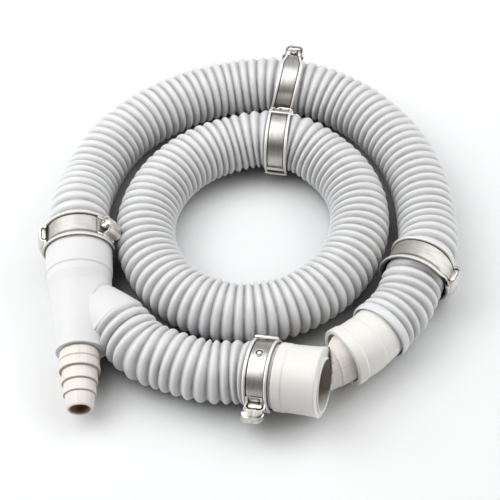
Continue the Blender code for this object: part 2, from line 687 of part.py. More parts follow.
def make_closure(name, frame, angle, head_way, width):
    """One housing and its screw; head_way is +1 or -1 for the way round that the head points."""
    seat = clamp_seat(frame, angle)
    make_housing(name + "_housing", seat, width)
    turned = Matrix.Rotation(math.radians(90.0 * head_way), 4, "Z")
    lift = Matrix.Translation((0.0, 0.0, FIT_GAP + SCREW_RADIUS))
    add_object(name + "_screw", SCREW, "steel", seat @ lift @ turned)


def make_clamp(name, frame, angle, head_way, width=NARROW_BAND_WIDTH):
    make_band(name + "_band", frame, angle, width)
    make_closure(name, frame, angle, head_way, width)


def outer_route(start_frame):
    """From the wye round the outside of the coil to the adapter."""
    start = start_frame.to_translation()
    forward = axis_of(start_frame)
    start -= forward * CLAMP_END_DISTANCE
    knots = [(start, forward), (start + forward * (JOINT_LENGTH + HOSE_END_CUFF), forward)]
    knots += [(beside_ring(*knot), None) for knot in OUTER_KNOTS_BEFORE_TOP]
    top_frame, stretch = clamp_on_route(OUTER_TOP_CLAMP, NARROW_BAND_WIDTH)
    knots += stretch
    knots += [(beside_ring(*knot), None) for knot in OUTER_KNOTS_AFTER_TOP]
    right_frame, stretch = clamp_on_route(OUTER_RIGHT_CLAMP, BAND_WIDTH)
    knots += stretch
    bearing, space, heading = OUTER_END
    end = beside_ring(bearing, space, LIP_RADIUS)
    direction = heading_vector(heading)
    knots += straight_stretch(end, direction, JOINT_LENGTH, 0.0)
    return Route(knots), top_frame, right_frame, frame_at(end, direction)


def clamp_on_route(place, width):
    """A clamp lifts the hose by its own thickness and holds it straight."""
    bearing, space, heading = place
    centre = beside_ring(bearing, space, CLAMP_RADIUS)
    direction = heading_vector(heading)
    half = width / 2.0 + FIT_GAP
    return frame_at(centre, direction), straight_stretch(centre, direction, half, half)


def front_route(branch):
    """From the wye's branch along the front of the coil to the open cuff."""
    start, forward = branch.to_translation(), axis_of(branch)
    knots = [(start, forward), (start + forward * BRANCH_TAIL_LENGTH, forward)]
    knots += [(beside_ring(*knot), None) for knot in FRONT_KNOTS]
    bearing, space, heading = FRONT_CLAMP
    tilt = math.radians(FRONT_TILT)
    height = CLAMP_RADIUS * math.cos(tilt) + NARROW_BAND_WIDTH / 2.0 * math.sin(tilt)
    centre = beside_ring(bearing, space, height)
    direction = heading_vector(heading, FRONT_TILT)
    stretch = straight_stretch(centre, direction, JOINT_LENGTH - CLAMP_END_DISTANCE,
                               CLAMP_END_DISTANCE)
    knots += stretch
    return Route(knots), frame_at(centre, direction), frame_at(stretch[1][0], direction)


def stand_on_floor():
    """Move the whole coil so that the origin is on the floor under the middle of its box."""
    bpy.context.view_layer.update()
    graph = bpy.context.evaluated_depsgraph_get()
    corners = []
    for item in coil.children:
        if item.type == "MESH" and not item.hide_render:
            solid = item.evaluated_get(graph)
            corners += [solid.matrix_world @ vertex.co for vertex in solid.data.vertices]
    low = [min(corner[i] for corner in corners) for i in range(3)]
    high = [max(corner[i] for corner in corners) for i in range(3)]
    coil.location = (-(low[0] + high[0]) / 2.0, -(low[1] + high[1]) / 2.0, -low[2])


SCREW = screw_mesh()
ring_clamp_frame = make_inner_ring()
wye_place, left_clamp_frame = wye_frame()
branch_place = make_wye(wye_place)
make_nozzle(wye_place)
outer, top_clamp_frame, right_clamp_frame, outer_end = outer_route(left_clamp_frame)
make_hose("outer_hose", outer, (JOINT_LENGTH, JOINT_LENGTH), lip=True)
adapter_end = make_adapter(outer_end)
front, front_clamp_frame, front_end = front_route(branch_place)
make_hose("front_hose", front, (BRANCH_TAIL_LENGTH, JOINT_LENGTH), from_groove=True)
cuff_mouth = make_cuff(front_end)
make_spout(adapter_end, cuff_mouth)
make_clamp("left_clamp", left_clamp_frame, 33.0, 1, BAND_WIDTH)
make_closure("left_clamp_second", left_clamp_frame, 180.0, -1, BAND_WIDTH)
make_clamp("top_clamp", top_clamp_frame, 150.0, 1)
make_clamp("inner_clamp", ring_clamp_frame, 190.0, 1)
make_clamp("right_clamp", right_clamp_frame, 186.0, 1, BAND_WIDTH)
make_clamp("front_clamp", front_clamp_frame, -5.0, -1)
stand_on_floor()
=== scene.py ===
# Looks of a coiled drain hose round its fixed frame: ribbed hoses, moulded fittings, band clamps
import math
from functools import partialmethod

import bpy
import numpy as np
from mathutils import Matrix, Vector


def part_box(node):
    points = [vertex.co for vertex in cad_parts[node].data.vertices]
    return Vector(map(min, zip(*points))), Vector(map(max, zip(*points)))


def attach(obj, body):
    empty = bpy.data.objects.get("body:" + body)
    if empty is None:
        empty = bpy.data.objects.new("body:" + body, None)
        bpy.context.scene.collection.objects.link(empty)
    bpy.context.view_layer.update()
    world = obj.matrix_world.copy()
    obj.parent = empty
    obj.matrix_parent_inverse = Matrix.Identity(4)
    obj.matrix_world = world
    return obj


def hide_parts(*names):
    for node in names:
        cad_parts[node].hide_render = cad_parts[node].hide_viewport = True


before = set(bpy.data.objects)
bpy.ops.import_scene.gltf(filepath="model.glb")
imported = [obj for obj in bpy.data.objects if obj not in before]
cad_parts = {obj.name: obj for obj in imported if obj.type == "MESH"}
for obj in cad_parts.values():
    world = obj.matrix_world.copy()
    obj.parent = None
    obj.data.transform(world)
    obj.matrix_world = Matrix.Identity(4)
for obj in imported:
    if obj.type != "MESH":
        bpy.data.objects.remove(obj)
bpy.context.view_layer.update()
print("frame loaded with", len(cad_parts), "nodes")

# Sizes and places that every piece shares, in metres and degrees. A place beside the ring is a
# bearing round the ring's middle and the space between the ring's skin and the other hose's.
layout = {
    "hoseRadius": 0.0150,
    "grooveRadius": 0.0132,
    "boreRadius": 0.0118,
    "lipRadius": 0.01549,
    "fitGap": 0.0003,
    "tailRadius": 0.0111,
    "tailBore": 0.0090,
    "jointLength": 0.0150,
    "ringRadius": 0.0543,
    "ringOval": 0.0020,
    "ringOvalBearing": 52.0,
    "ringSteps": 24,
    "ringClampBearing": 76.2,
    "ringClampTurn": 5.0,
    "ringCoupler": 0.0100,
    "outerBeforeTop": [(160.0, 0.0057), (140.0, 0.0082), (120.0, 0.0088), (100.0, 0.0100)],
    "topClamp": (78.5, 0.0096, -9.5),
    "outerAfterTop": [(57.0, 0.0094), (40.0, 0.0067), (20.0, 0.0044), (2.0, 0.0037)],
    "rightClamp": (-20.6, 0.0042, -115.5),
    "outerEnd": (-48.4, 0.0068, -131.0),
    "frontKnots": [(-115.0, 0.0046), (-105.0, 0.0047)],
    "frontClamp": (-86.9, 0.0069, -14.5),
    "frontTilt": 9.5,
    "leftClampBearing": 188.6,
    "leftClampSpace": 0.0012,
    "clampRadius": 0.0170,
    "clampFromEnd": 0.0070,
    "wideBand": 0.0135,
    "narrowBand": 0.0114,
}
crest, groove, lip, gap = (layout[key] for key in ("hoseRadius", "grooveRadius", "lipRadius", "fitGap"))
tail, bore, joint = (layout[key] for key in ("tailRadius", "tailBore", "jointLength"))
clampRadius, clampFromEnd = layout["clampRadius"], layout["clampFromEnd"]


# Points and directions


def headingVector(heading, rise=0.0):  # unit vector: cosine and sine of the heading, tipped up by the rise
    turn, tilt = math.radians(heading), math.radians(rise)
    return np.array([math.cos(turn) * math.cos(tilt), math.sin(turn) * math.cos(tilt), math.sin(tilt)])


def unit(vectors):  # each vector over its own length
    return vectors / np.linalg.norm(vectors, axis=-1, keepdims=True)


def axesFor(forward):
    # left is up crossed with forward, and the third axis is forward crossed with left
    forward = unit(np.asarray(forward, float))
    left = unit(np.cross([0.0, 0.0, 1.0], forward))
    return forward, left, np.cross(forward, left)


def turnedHeading(direction, degrees):  # direction turned about the vertical
    c, s = math.cos(math.radians(degrees)), math.sin(math.radians(degrees))
    return np.array([direction[0] * c - direction[1] * s, direction[0] * s + direction[1] * c, direction[2]])


def besideRing(bearing, beyond, height):
    # out along the bearing by the slightly oval ring's middle radius and a length beyond it
    oval = layout["ringOval"] * math.cos(2.0 * math.radians(bearing - layout["ringOvalBearing"]))
    return headingVector(bearing) * (layout["ringRadius"] + oval + beyond) + np.array([0.0, 0.0, height])


# The coupler's box is centred on the ring's clamp, which gives the coil's own middle in this frame
ringClampPlace = np.mean(np.array(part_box("ring_coupler")), axis=0)
coilMiddle = ringClampPlace - besideRing(layout["ringClampBearing"], 0.0, clampRadius)
print("coil middle at", np.round(coilMiddle, 5).tolist())


def hosePoint(bearing, space, height=crest):  # middle of a hose that lies a space off the ring's skin
    return coilMiddle + besideRing(bearing, 2.0 * crest + space, height)


def smoothRoute(knots, steps=40):
    # Cubic through the knots: each stretch leaves one point and meets the next along their
    # directions, pulled as far as they are apart. A knot without a direction takes the level mean
    # of its two stretches' directions, each weighed by the other's length.
    points = np.array([point for point, direction in knots], float)
    headings = []
    for i, (point, direction) in enumerate(knots):
        if direction is None:
            before, after = points[i] - points[i - 1], points[i + 1] - points[i]
            direction = unit(before) * np.linalg.norm(after) + unit(after) * np.linalg.norm(before)
            direction = unit(direction * [1.0, 1.0, 0.0])
        headings.append(direction)
    headings = np.array(headings, float)
    reach = np.linalg.norm(points[1:] - points[:-1], axis=1)[:, None, None]
    t = np.linspace(0.0, 1.0, steps, endpoint=False)[None, :, None]
    start, end = points[:-1, None, :], points[1:, None, :]
    pullStart, pullEnd = headings[:-1, None, :] * reach, headings[1:, None, :] * reach
    places = (start * (2 * t**3 - 3 * t**2 + 1) + pullStart * (t**3 - 2 * t**2 + t)
              + end * (3 * t**2 - 2 * t**3) + pullEnd * (t**3 - t**2))
    ways = (start * (6 * t**2 - 6 * t) + pullStart * (3 * t**2 - 4 * t + 1)
            + end * (6 * t - 6 * t**2) + pullEnd * (3 * t**2 - 2 * t))
    places = np.concatenate([places.reshape(-1, 3), points[-1:]])
    ways = unit(np.concatenate([ways.reshape(-1, 3), headings[-1:]]))
    stations = np.concatenate([[0.0], np.cumsum(np.linalg.norm(np.diff(places, axis=0), axis=1))])
    return {"stations": stations, "places": places, "ways": ways, "length": stations[-1]}


def straightLine(place, direction):
    return {"place": np.asarray(place, float), "way": unit(np.asarray(direction, float))}


def stationFrames(line, stations):
    # centre, forward, left and up at each station of a straight line, or of a route and on past it
    stations = np.asarray(stations, float)
    if "way" in line:
        centres = line["place"] + stations[:, None] * line["way"]
        return centres, *axesFor(np.repeat(line["way"][None, :], len(stations), axis=0))
    centres, forward = (np.stack([np.interp(stations, line["stations"], values[:, i]) for i in range(3)], 1)
                        for values in (line["places"], line["ways"]))
    past = np.clip(stations - line["length"], 0.0, None) + np.clip(stations, None, 0.0)
    return centres + past[:, None] * unit(forward), *axesFor(forward)


def bentLine(place, direction, lead, bendLength, turn, end):
    # a straight lead, an even bend in plan, whose chord is its length times sine over angle, an end
    angle = math.radians(turn)
    chord = bendLength / angle * 2.0 * math.sin(angle / 2.0)
    corner = place + turnedHeading(direction, turn / 2.0) * chord
    second = turnedHeading(direction, turn)
    return smoothRoute([(place - direction * lead, direction), (place, direction), (corner, second),
                        (corner + second * end, second)])


# Meshes from grids


def newObject(name, data):
    item = bpy.data.objects.new(name, data)
    bpy.context.scene.collection.objects.link(item)
    return item


def softCorners(points, radius, steps=4):
    # each corner of a closed outline becomes a short curve, which starts and ends a radius away
    # from it, or less on a short side, and bends towards it in between
    points = np.asarray(points, float)
    ends = []
    for step in (1, -1):
        side = np.roll(points, step, axis=-2) - points
        length = np.linalg.norm(side, axis=-1, keepdims=True)
        ends.append((points + side / length * np.minimum(radius, 0.45 * length))[..., None, :])
    t = np.linspace(0.0, 1.0, steps)[:, None]
    curve = ends[0] * (1 - t) ** 2 + points[..., None, :] * 2 * t * (1 - t) + ends[1] * t**2
    return curve.reshape(*points.shape[:-2], -1, points.shape[-1])


def closedProfile(outline, radius, step):
    # soft corners, and more points on the long sides, a step apart along the profile
    profile = softCorners(outline, radius)
    closed = np.concatenate([profile, profile[:1]])
    run = np.concatenate([[0.0], np.cumsum(np.linalg.norm(np.diff(closed, axis=0), axis=1))])
    places = np.union1d(run[:-1], np.arange(0.0, run[-1], step))
    places = places[np.concatenate([[True], np.diff(places) > 1e-6])]
    return np.stack([np.interp(places, run, closed[:, i]) for i in range(closed.shape[1])], axis=1)


def gridMesh(name, grid, material, slot=None, node=None, looped=False, height=None, flat=None, sharp=None):
    # Quads round each row of a grid and on to the next, and from the last row to the first or to
    # two end caps. Faces that don't point out are turned, which the signed volume tells: the sum
    # of each face's middle times its area vector. Flat is a map that follows the surface.
    rows, cols = grid.shape[:2]
    index = np.arange(rows * cols).reshape(rows, cols)
    here, there = (index, np.roll(index, -1, axis=0)) if looped else (index[:-1], index[1:])
    quads = np.stack([here, there, np.roll(there, -1, axis=1), np.roll(here, -1, axis=1)], -1).reshape(-1, 4)
    points = grid.reshape(-1, 3)
    middle = points[quads].mean(axis=1)
    area = np.cross(points[quads[:, 2]] - points[quads[:, 0]], points[quads[:, 3]] - points[quads[:, 1]])
    faces = quads.tolist()
    for cap in () if looped else (index[0], index[-1][::-1]):
        edge = points[cap] - points[cap].mean(axis=0)
        middle = np.concatenate([middle, points[cap].mean(axis=0)[None, :]])
        area = np.concatenate([area, np.cross(edge, np.roll(edge, -1, axis=0)).sum(axis=0)[None, :]])
        faces.append(cap.tolist())
    if np.einsum("ij,ij->", middle - points.mean(axis=0), area) < 0.0:
        faces = [face[::-1] for face in faces]
    mesh = bpy.data.meshes.new(name)
    mesh.from_pydata(points.tolist(), [], faces)
    if height is not None:
        layer = mesh.attributes.new(name="height", type="FLOAT", domain="POINT")
        layer.data.foreach_set("value", np.asarray(height, np.float32).reshape(-1))
    if flat is not None:
        corners = np.zeros(len(mesh.loops), np.int32)
        mesh.loops.foreach_get("vertex_index", corners)
        uvLayer = mesh.uv_layers.new(name="surface")
        uvLayer.data.foreach_set("uv", flat.reshape(-1, 2)[corners].astype(np.float32).reshape(-1))
    mesh.update()
    mesh.shade_smooth()
    if sharp is not None:
        mesh.set_sharp_from_angle(angle=math.radians(sharp))
    mesh.materials.append(material)
    piece = newObject(name, mesh)
    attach(piece, "root")
    if node:
        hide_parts(node)
    return piece


def fullTurn(steps):  # angles all the way round
    return np.linspace(0.0, 2.0 * np.pi, steps, endpoint=False)


def turnedPiece(name, line, profile, material, slot=None, node=None, sides=96, field=None, sharp=None,
                change=None):
    # A closed profile of station and radius, carried round the line: centre plus radius times the
    # cosine to the right and the sine upwards. A third number lifts the centre off the line.
    centres, forward, left, up = stationFrames(line, profile[:, 0])
    if profile.shape[1] > 2:
        centres = centres + up * profile[:, 2:3]
    angle = fullTurn(sides)
    around = up[:, None, :] * np.sin(angle)[:, None] - left[:, None, :] * np.cos(angle)[:, None]
    grid = centres[:, None, :] + around * profile[:, 1][:, None, None]
    if change is not None:
        grid = grid + around * change(grid, profile)[..., None]
    height = None if field is None else np.repeat(field[:, None], sides, axis=1)
    flat = np.stack(np.broadcast_arrays(angle / (2.0 * np.pi), profile[:, :1]), axis=-1)
    return gridMesh(name, grid, material, slot, node, looped=True, height=height, flat=flat, sharp=sharp)


def cutAway(piece, cutters, sharp=40.0):
    # the cutters are taken from the piece, and the shape that is left becomes the mesh itself
    for cutter in cutters:
        modifier = piece.modifiers.new("cut", "BOOLEAN")
        modifier.operation, modifier.solver, modifier.object = "DIFFERENCE", "EXACT", cutter
    bpy.context.view_layer.update()
    shaped = piece.evaluated_get(bpy.context.evaluated_depsgraph_get())
    mesh = bpy.data.meshes.new_from_object(shaped)
    piece.modifiers.clear()
    piece.data = mesh
    mesh.set_sharp_from_angle(angle=math.radians(sharp))
    for cutter in cutters:
        bpy.data.objects.remove(cutter, do_unlink=True)


# Materials


class Graph:  # a shader tree, in which each call adds a node and most give its result

    def __init__(self, tree):
        self.tree = tree

    def join(self, node, inputs):  # an input is linked to another node's result, or takes a value
        for key, value in inputs.items():
            socket = node.inputs[key]
            if isinstance(value, bpy.types.NodeSocket):
                self.tree.links.new(value, socket)
            else:
                socket.default_value = (*value, 1.0) if socket.type == "RGBA" else value
        return node

    def add(self, kind, inputs, **settings):
        node = self.tree.nodes.new("ShaderNode" + kind)
        for key, value in settings.items():
            setattr(node, key, value)
        return self.join(node, inputs)

    def math(self, operation, first, second, clamp=False):
        return self.add("Math", {0: first, 1: second}, operation=operation, use_clamp=clamp).outputs[0]

    plus = partialmethod(math, "ADD")
    less = partialmethod(math, "SUBTRACT")
    times = partialmethod(math, "MULTIPLY")

    def ramp(self, value, start, gain):  # how far a value is past a start, times a gain, from 0 to 1
        return self.times(self.less(value, start, clamp=True), gain, clamp=True)

    def mix(self, share, first, second):
        return self.add("Mix", {0: share, 6: first, 7: second}, data_type="RGBA").outputs[2]

    def noise(self, vector, scale, detail, roughness=0.55):
        return self.add("TexNoise", {"Vector": vector, "Scale": scale, "Detail": detail,
                                     "Roughness": roughness}).outputs["Fac"]

    def stretched(self, vector, scale):
        return self.add("Mapping", {"Vector": vector, "Scale": scale}).outputs[0]

    def bump(self, height, strength, distance, **under):
        return self.add("Bump", {"Height": height, "Strength": strength, "Distance": distance,
                                 **under}).outputs["Normal"]

    def meshHeight(self):
        return self.add("Attribute", {}, attribute_name="height").outputs["Fac"]


def groupOf(name, inputs, outputs):
    # a node group with the named sockets of each kind, its graph, what it is given and its end
    group = bpy.data.node_groups.new(name, "ShaderNodeTree")
    for direction, kinds in (("INPUT", inputs), ("OUTPUT", outputs)):
        for kind, names in kinds.items():
            for socketName in names:
                group.interface.new_socket(name=socketName, in_out=direction, socket_type="NodeSocket" + kind)
    given = group.nodes.new("NodeGroupInput").outputs
    return group, Graph(group), given, group.nodes.new("NodeGroupOutput")


def mouldSkinGroup():
    # Skin of a moulded plastic: slow cloudiness and streaks in the colour, and a fine grain
    # in the surface. The map is stretched so that the streaks run along the mould; on the nozzle they run
    # along its axis and are painted reflections.
    group, graph, given, end = groupOf(
        "mouldSkin", {"Vector": ["Place", "Map"], "Color": ["Colour", "Tint"],
                      "Float": ["Clouds", "Streaks", "Roughness", "Grain"]},
        {"Color": ["Colour"], "Float": ["Roughness"], "Vector": ["Normal"]})
    clouds = graph.noise(given["Place"], scale=70.0, detail=4.0)
    specks = graph.noise(given["Place"], scale=900.0, detail=2.0)
    streaks = graph.ramp(graph.noise(given["Map"], scale=1.0, detail=3.0), 0.45, given["Streaks"])
    share = graph.plus(graph.ramp(clouds, 0.35, given["Clouds"]), streaks, clamp=True)
    drift = graph.times(graph.less(clouds, 0.5), 0.25)
    graph.join(end, {
        "Colour": graph.mix(share, given["Colour"], given["Tint"]),
        "Roughness": graph.plus(given["Roughness"], drift, clamp=True),
        "Normal": graph.bump(specks, given["Grain"], distance=0.0002),
    })
    return group


def grooveShadeGroup():
    # dust and painted shade low in the grooves of the ribs: 1 at the bottom, 0 on the crests
    group, graph, given, end = groupOf(
        "grooveShade", {"Vector": ["Place"], "Float": ["Height", "Reach"], "Color": ["Colour", "DustAndShade"]},
        {"Color": ["Colour"]})
    patches = graph.noise(given["Place"], scale=160.0, detail=3.0)
    depth = graph.math("POWER", graph.less(1.0, given["Height"], clamp=True), 1.6)
    depth = graph.times(graph.times(depth, given["Reach"]), graph.plus(patches, 0.5), clamp=True)
    graph.join(end, {"Colour": graph.mix(depth, given["Colour"], given["DustAndShade"])})
    return group


# smear is a dark smudge on the steel; fold is the near black of painted shade in folds and under edges
steelSmearAndShade = {"smear": (0.34, 0.31, 0.27), "fold": (0.05, 0.045, 0.04)}


def rolledSteelGroup():
    # Rolled strip: fine lines along the strip, soft dents that bend its reflections, and smears.
    # Height is 0 in the fold beside a rim, which is painted dark as its shade, a half on the strip and 1 on
    # the rim, which is duller and painted paler as a highlight. Under the band's edges it is low, painted as
    # shade.
    group, graph, given, end = groupOf(
        "rolledSteel", {"Vector": ["Map", "Place"], "Color": ["Colour", "Rim"],
                        "Float": ["Height", "Roughness", "Lines", "Dents"]},
        {"Color": ["Colour"], "Float": ["Roughness", "Metal"], "Vector": ["Normal"]})
    lines = graph.noise(graph.stretched(given["Map"], (60.0, 5200.0, 1.0)), scale=1.0, detail=3.0)
    smears = graph.noise(graph.stretched(given["Map"], (150.0, 520.0, 1.0)), scale=1.0, detail=4.0,
                         roughness=0.62)
    dents = graph.noise(given["Place"], scale=150.0, detail=1.0)
    rim = graph.ramp(given["Height"], 0.55, 2.6)
    colour = graph.mix(graph.ramp(smears, 0.44, 2.2), given["Colour"], steelSmearAndShade["smear"])
    colour = graph.mix(rim, colour, given["Rim"])
    rough = graph.plus(given["Roughness"], graph.times(smears, 0.14), clamp=True)
    dented = graph.bump(dents, given["Dents"], distance=0.0012)
    # painted shade: near black in the folds beside the rims and darker under the band's edges; painted
    # highlight: paler rims
    graph.join(end, {
        "Colour": graph.mix(graph.ramp(0.36, given["Height"], 3.4), colour, steelSmearAndShade["fold"]),
        "Roughness": graph.plus(rough, graph.times(rim, 0.10), clamp=True),
        "Metal": graph.less(1.0, graph.times(rim, 0.45), clamp=True),
        "Normal": graph.bump(lines, given["Lines"], distance=0.00006, Normal=dented),
    })
    return group


mouldSkin, grooveShade, rolledSteel = mouldSkinGroup(), grooveShadeGroup(), rolledSteelGroup()


def newMaterial(name):
    material = bpy.data.materials.new(name)
    material.use_nodes = True
    graph = Graph(material.node_tree)
    return material, graph, graph.tree.nodes["Principled BSDF"]


def plasticMaterial(name, specular, stretch=None, groove=None, **skin):
    # moulded skin, with streaks where it has a stretched map and with dust where it has grooves
    material, graph, shader = newMaterial(name)
    coordinates = graph.add("TexCoord", {}).outputs
    skin["Place"] = coordinates["Object"]
    if stretch:
        skin["Map"] = graph.stretched(coordinates["UV"], stretch)
    moulded = graph.add("Group", skin, node_tree=mouldSkin).outputs
    colour = moulded["Colour"]
    if groove:
        shade = {"Place": coordinates["Object"], "Height": graph.meshHeight(), "Colour": colour, **groove}
        colour = graph.add("Group", shade, node_tree=grooveShade).outputs["Colour"]
    graph.join(shader, {"Base Color": colour, "Roughness": moulded["Roughness"],
                        "Normal": moulded["Normal"], "Specular IOR Level": specular})
    return material


def steelMaterial(name, **strip):
    # a strip that has a rim also has a height on its mesh, which tells where the rim and fold are
    material, graph, shader = newMaterial(name)
    coordinates = graph.add("TexCoord", {}).outputs
    strip.update(Map=coordinates["UV"], Place=coordinates["Object"])
    strip["Height"] = graph.meshHeight() if "Rim" in strip else 0.5
    rolled = graph.add("Group", strip, node_tree=rolledSteel).outputs
    graph.join(shader, {"Base Color": rolled["Colour"], "Roughness": rolled["Roughness"],
                        "Normal": rolled["Normal"], "Metallic": rolled["Metal"] if "Rim" in strip else 1.0})
    return material


hosePlastic = plasticMaterial(
    "hoseGreyPlastic", specular=0.5, stretch=(7.0, 1900.0, 1.0),
    groove={"DustAndShade": (0.24, 0.225, 0.205), "Reach": 0.75}, Colour=(0.715, 0.722, 0.735),
    Tint=(0.65, 0.65, 0.66), Clouds=0.5, Streaks=3.0, Roughness=0.34, Grain=0.10)
whitePlastic = plasticMaterial(
    "wyeWhitePlastic", specular=0.3, Colour=(0.69, 0.69, 0.69), Tint=(0.65, 0.645, 0.635), Clouds=0.35,
    Roughness=0.40, Grain=0.12)
creamPlastic = plasticMaterial(
    "cuffCreamPlastic", specular=0.45, groove={"DustAndShade": (0.31, 0.20, 0.115), "Reach": 1.0},
    Colour=(0.78, 0.765, 0.735), Tint=(0.71, 0.68, 0.63), Clouds=0.45, Roughness=0.40, Grain=0.14)
# its streaks along the axis are painted reflections
beigePlastic = plasticMaterial(
    "nozzleBeigePlastic", specular=0.5, stretch=(70.0, 60.0, 1.0),
    groove={"DustAndShade": (0.33, 0.25, 0.18), "Reach": 0.9},
    Colour=(0.75, 0.72, 0.68), Tint=(0.62, 0.56, 0.49), Clouds=0.5, Streaks=2.2, Roughness=0.36, Grain=0.14)
# brown with painted shade: the dark bottom of the nozzle's mouth
shadeBrownPlastic = plasticMaterial(
    "boreShadeBrownPlastic", specular=0.3, Colour=(0.32, 0.21, 0.11), Tint=(0.20, 0.13, 0.07), Clouds=0.5,
    Roughness=0.55, Grain=0.1)
bandSteel = steelMaterial("bandRolledSteel", Colour=(0.55, 0.54, 0.52), Rim=(0.82, 0.805, 0.77),
                          Roughness=0.32, Lines=0.25, Dents=0.10)
# a darker, rougher copy of the band steel for the left and right clamps: its darker colour is painted shade
# that holds down the glare of the low side lamps
dullShadedSteel = steelMaterial("bandDullShadedSteel", Colour=(0.46, 0.45, 0.43), Rim=(0.76, 0.745, 0.71),
                          Roughness=0.42, Lines=0.3, Dents=0.14)
brightSteel = steelMaterial("housingBrightSteel", Colour=(0.80, 0.785, 0.75), Roughness=0.24, Lines=0.05,
                            Dents=0.10)
print("materials made:", len(bpy.data.materials))


# Lines that the hoses and fittings follow


def straightAround(place, way, before, after):
    return [(place - way * before, way), (place + way * after, way)]


ringClampWay = headingVector(layout["ringClampBearing"] - 90.0 + layout["ringClampTurn"])


def ringRoute():
    half = layout["ringCoupler"] / 2.0
    knots = straightAround(ringClampPlace, ringClampWay, -gap / 2.0, half)
    for i in range(2, layout["ringSteps"] - 1):
        bearing = layout["ringClampBearing"] - 360.0 * i / layout["ringSteps"]
        knots.append((coilMiddle + besideRing(bearing, 0.0, crest), None))
    return smoothRoute(knots + straightAround(ringClampPlace, ringClampWay, half, -gap / 2.0))


wye = {
    "heading": -85.9,
    "droop": 4.0,
    "socketRadius": 0.0164,
    "socketLength": 0.0142,
    "taper": [(0.0184, 0.0156), (0.0230, 0.0144), (0.0297, 0.0134), (0.0387, 0.0124), (0.0470, 0.0117)],
    "endRadius": 0.0113,
    "length": 0.0567,
    "branchAngle": 37.5,
    "branchLift": 1.65,
    "branchStart": 0.0192,
    "branchLength": 0.0302,
    "collarRadius": 0.0147,
    "branchCore": [(0.0060, 0.0080), (0.0120, 0.0102), (0.0170, 0.0119), (0.0215, 0.0131), (0.0260, 0.0141),
                   (0.0280, 0.0144)],
    "blend": 0.0060,
    "bootPitch": 0.0051,
    "branchTail": 0.0080,
    "plugRadius": 0.0050,
}
wyeWay = headingVector(wye["heading"], -wye["droop"])
bootEnd = wye["branchLength"] + 1.5 * wye["bootPitch"]


def wyeLines():
    # the wye lies on its socket's edge, and its clamp stands just beside the ring
    droop = math.radians(wye["droop"])
    height = wye["socketRadius"] * math.cos(droop) + (wye["socketLength"] + clampFromEnd) * math.sin(droop)
    apart = crest + clampRadius + layout["leftClampSpace"]
    across = math.sqrt(apart**2 - (height - crest) ** 2)
    clamp = coilMiddle + besideRing(layout["leftClampBearing"], across, height)
    start = clamp + wyeWay * clampFromEnd
    branchWay = headingVector(wye["branchAngle"], wye["branchLift"]) @ np.array(axesFor(wyeWay))
    return straightLine(start, wyeWay), straightLine(start + wyeWay * wye["branchStart"], branchWay), clamp


wyeLine, branchLine, leftClampPlace = wyeLines()


def clampOnHose(bearing, space, heading, width):
    place, way, half = hosePoint(bearing, space, clampRadius), headingVector(heading), width / 2.0 + gap
    return straightLine(place, way), straightAround(place, way, half, half)


def outerRoute():
    start, plain = leftClampPlace + wyeWay * clampFromEnd, 0.0024
    topClamp, topStretch = clampOnHose(*layout["topClamp"], layout["narrowBand"])
    rightClamp, rightStretch = clampOnHose(*layout["rightClamp"], layout["wideBand"])
    bearing, space, heading = layout["outerEnd"]
    end, way = hosePoint(bearing, space, lip), headingVector(heading)
    knots = straightAround(start, -wyeWay, 0.0, joint + plain)
    knots += [(hosePoint(*knot), None) for knot in layout["outerBeforeTop"]] + topStretch
    knots += [(hosePoint(*knot), None) for knot in layout["outerAfterTop"]] + rightStretch
    knots += straightAround(end, way, joint, 0.0)
    return smoothRoute(knots), topClamp, rightClamp, straightLine(end, way)


def frontRoute():
    start = branchLine["place"] + branchLine["way"] * (bootEnd + gap)
    bearing, space, heading = layout["frontClamp"]
    tilt = math.radians(layout["frontTilt"])
    height = clampRadius * math.cos(tilt) + layout["narrowBand"] / 2.0 * math.sin(tilt)
    place, way = hosePoint(bearing, space, height), headingVector(heading, layout["frontTilt"])
    stretch = straightAround(place, way, joint - clampFromEnd, clampFromEnd)
    knots = straightAround(start, branchLine["way"], 0.0, wye["branchTail"])
    knots += [(hosePoint(*knot), None) for knot in layout["frontKnots"]] + stretch
    return smoothRoute(knots), straightLine(place, way), straightLine(stretch[1][0], way)


ringLine = ringRoute()
outerLine, topClampLine, rightClampLine, outerEndLine = outerRoute()
frontLine, frontClampLine, frontEndLine = frontRoute()
print("routes laid: ring", round(ringLine["length"], 4), "outer", round(outerLine["length"], 4),
      "front", round(frontLine["length"], 4))


# Camera, as the photograph was taken

photographView = {
    "place": (-0.00155, -0.42680, 0.55900),
    "target": (-0.00155, -0.00557, 0.0),
    "lens": 98.64,
    "sensor": 36.0,
    "clip": 0.01,
}


def placeFacing(item, place, back):
    # its third axis points back from what it faces, its first is level and its second is upright
    right = unit(np.cross([0.0, 0.0, 1.0], back))
    matrix = np.eye(4)
    matrix[:3] = np.stack([right, np.cross(back, right), back, place], axis=1)
    item.matrix_world = Matrix(matrix.tolist())


def addCamera():
    place, target = (np.array(photographView[key]) + coilMiddle for key in ("place", "target"))
    data = bpy.data.cameras.new("photographCamera")
    data.sensor_width = photographView["sensor"]
    data.lens = photographView["lens"]
    data.clip_start = photographView["clip"]
    camera = newObject("photographCamera", data)
    placeFacing(camera, place, unit(place - target))
    bpy.context.scene.camera = camera


addCamera()


# Hoses

ribs = {
    "ringCount": 76,
    "outerPitch": 0.0048,
    "frontPitch": 0.0051,
    "depth": 0.0018,
    "crestPower": 0.62,
    "steps": np.array([0.0, 0.06, 0.13, 0.21, 0.29, 0.39, 0.5, 0.61, 0.71, 0.79, 0.87, 0.94]),
    "unevenEdge": 0.018,
    "unevenDepth": 0.03,
    "mostWorn": 0.07,
    "sides": 48,
    "boreStep": 0.006,
    "plainEnd": 0.0024,
    "lipLength": 0.0054,
}


def ribLift(u):
    # height over one rib, from 0 in the groove to 1 on the crest: the squared sine of half a turn
    # over the rib, to a power below one, which broadens the crest
    return np.sin(np.pi * u) ** (2.0 * ribs["crestPower"])


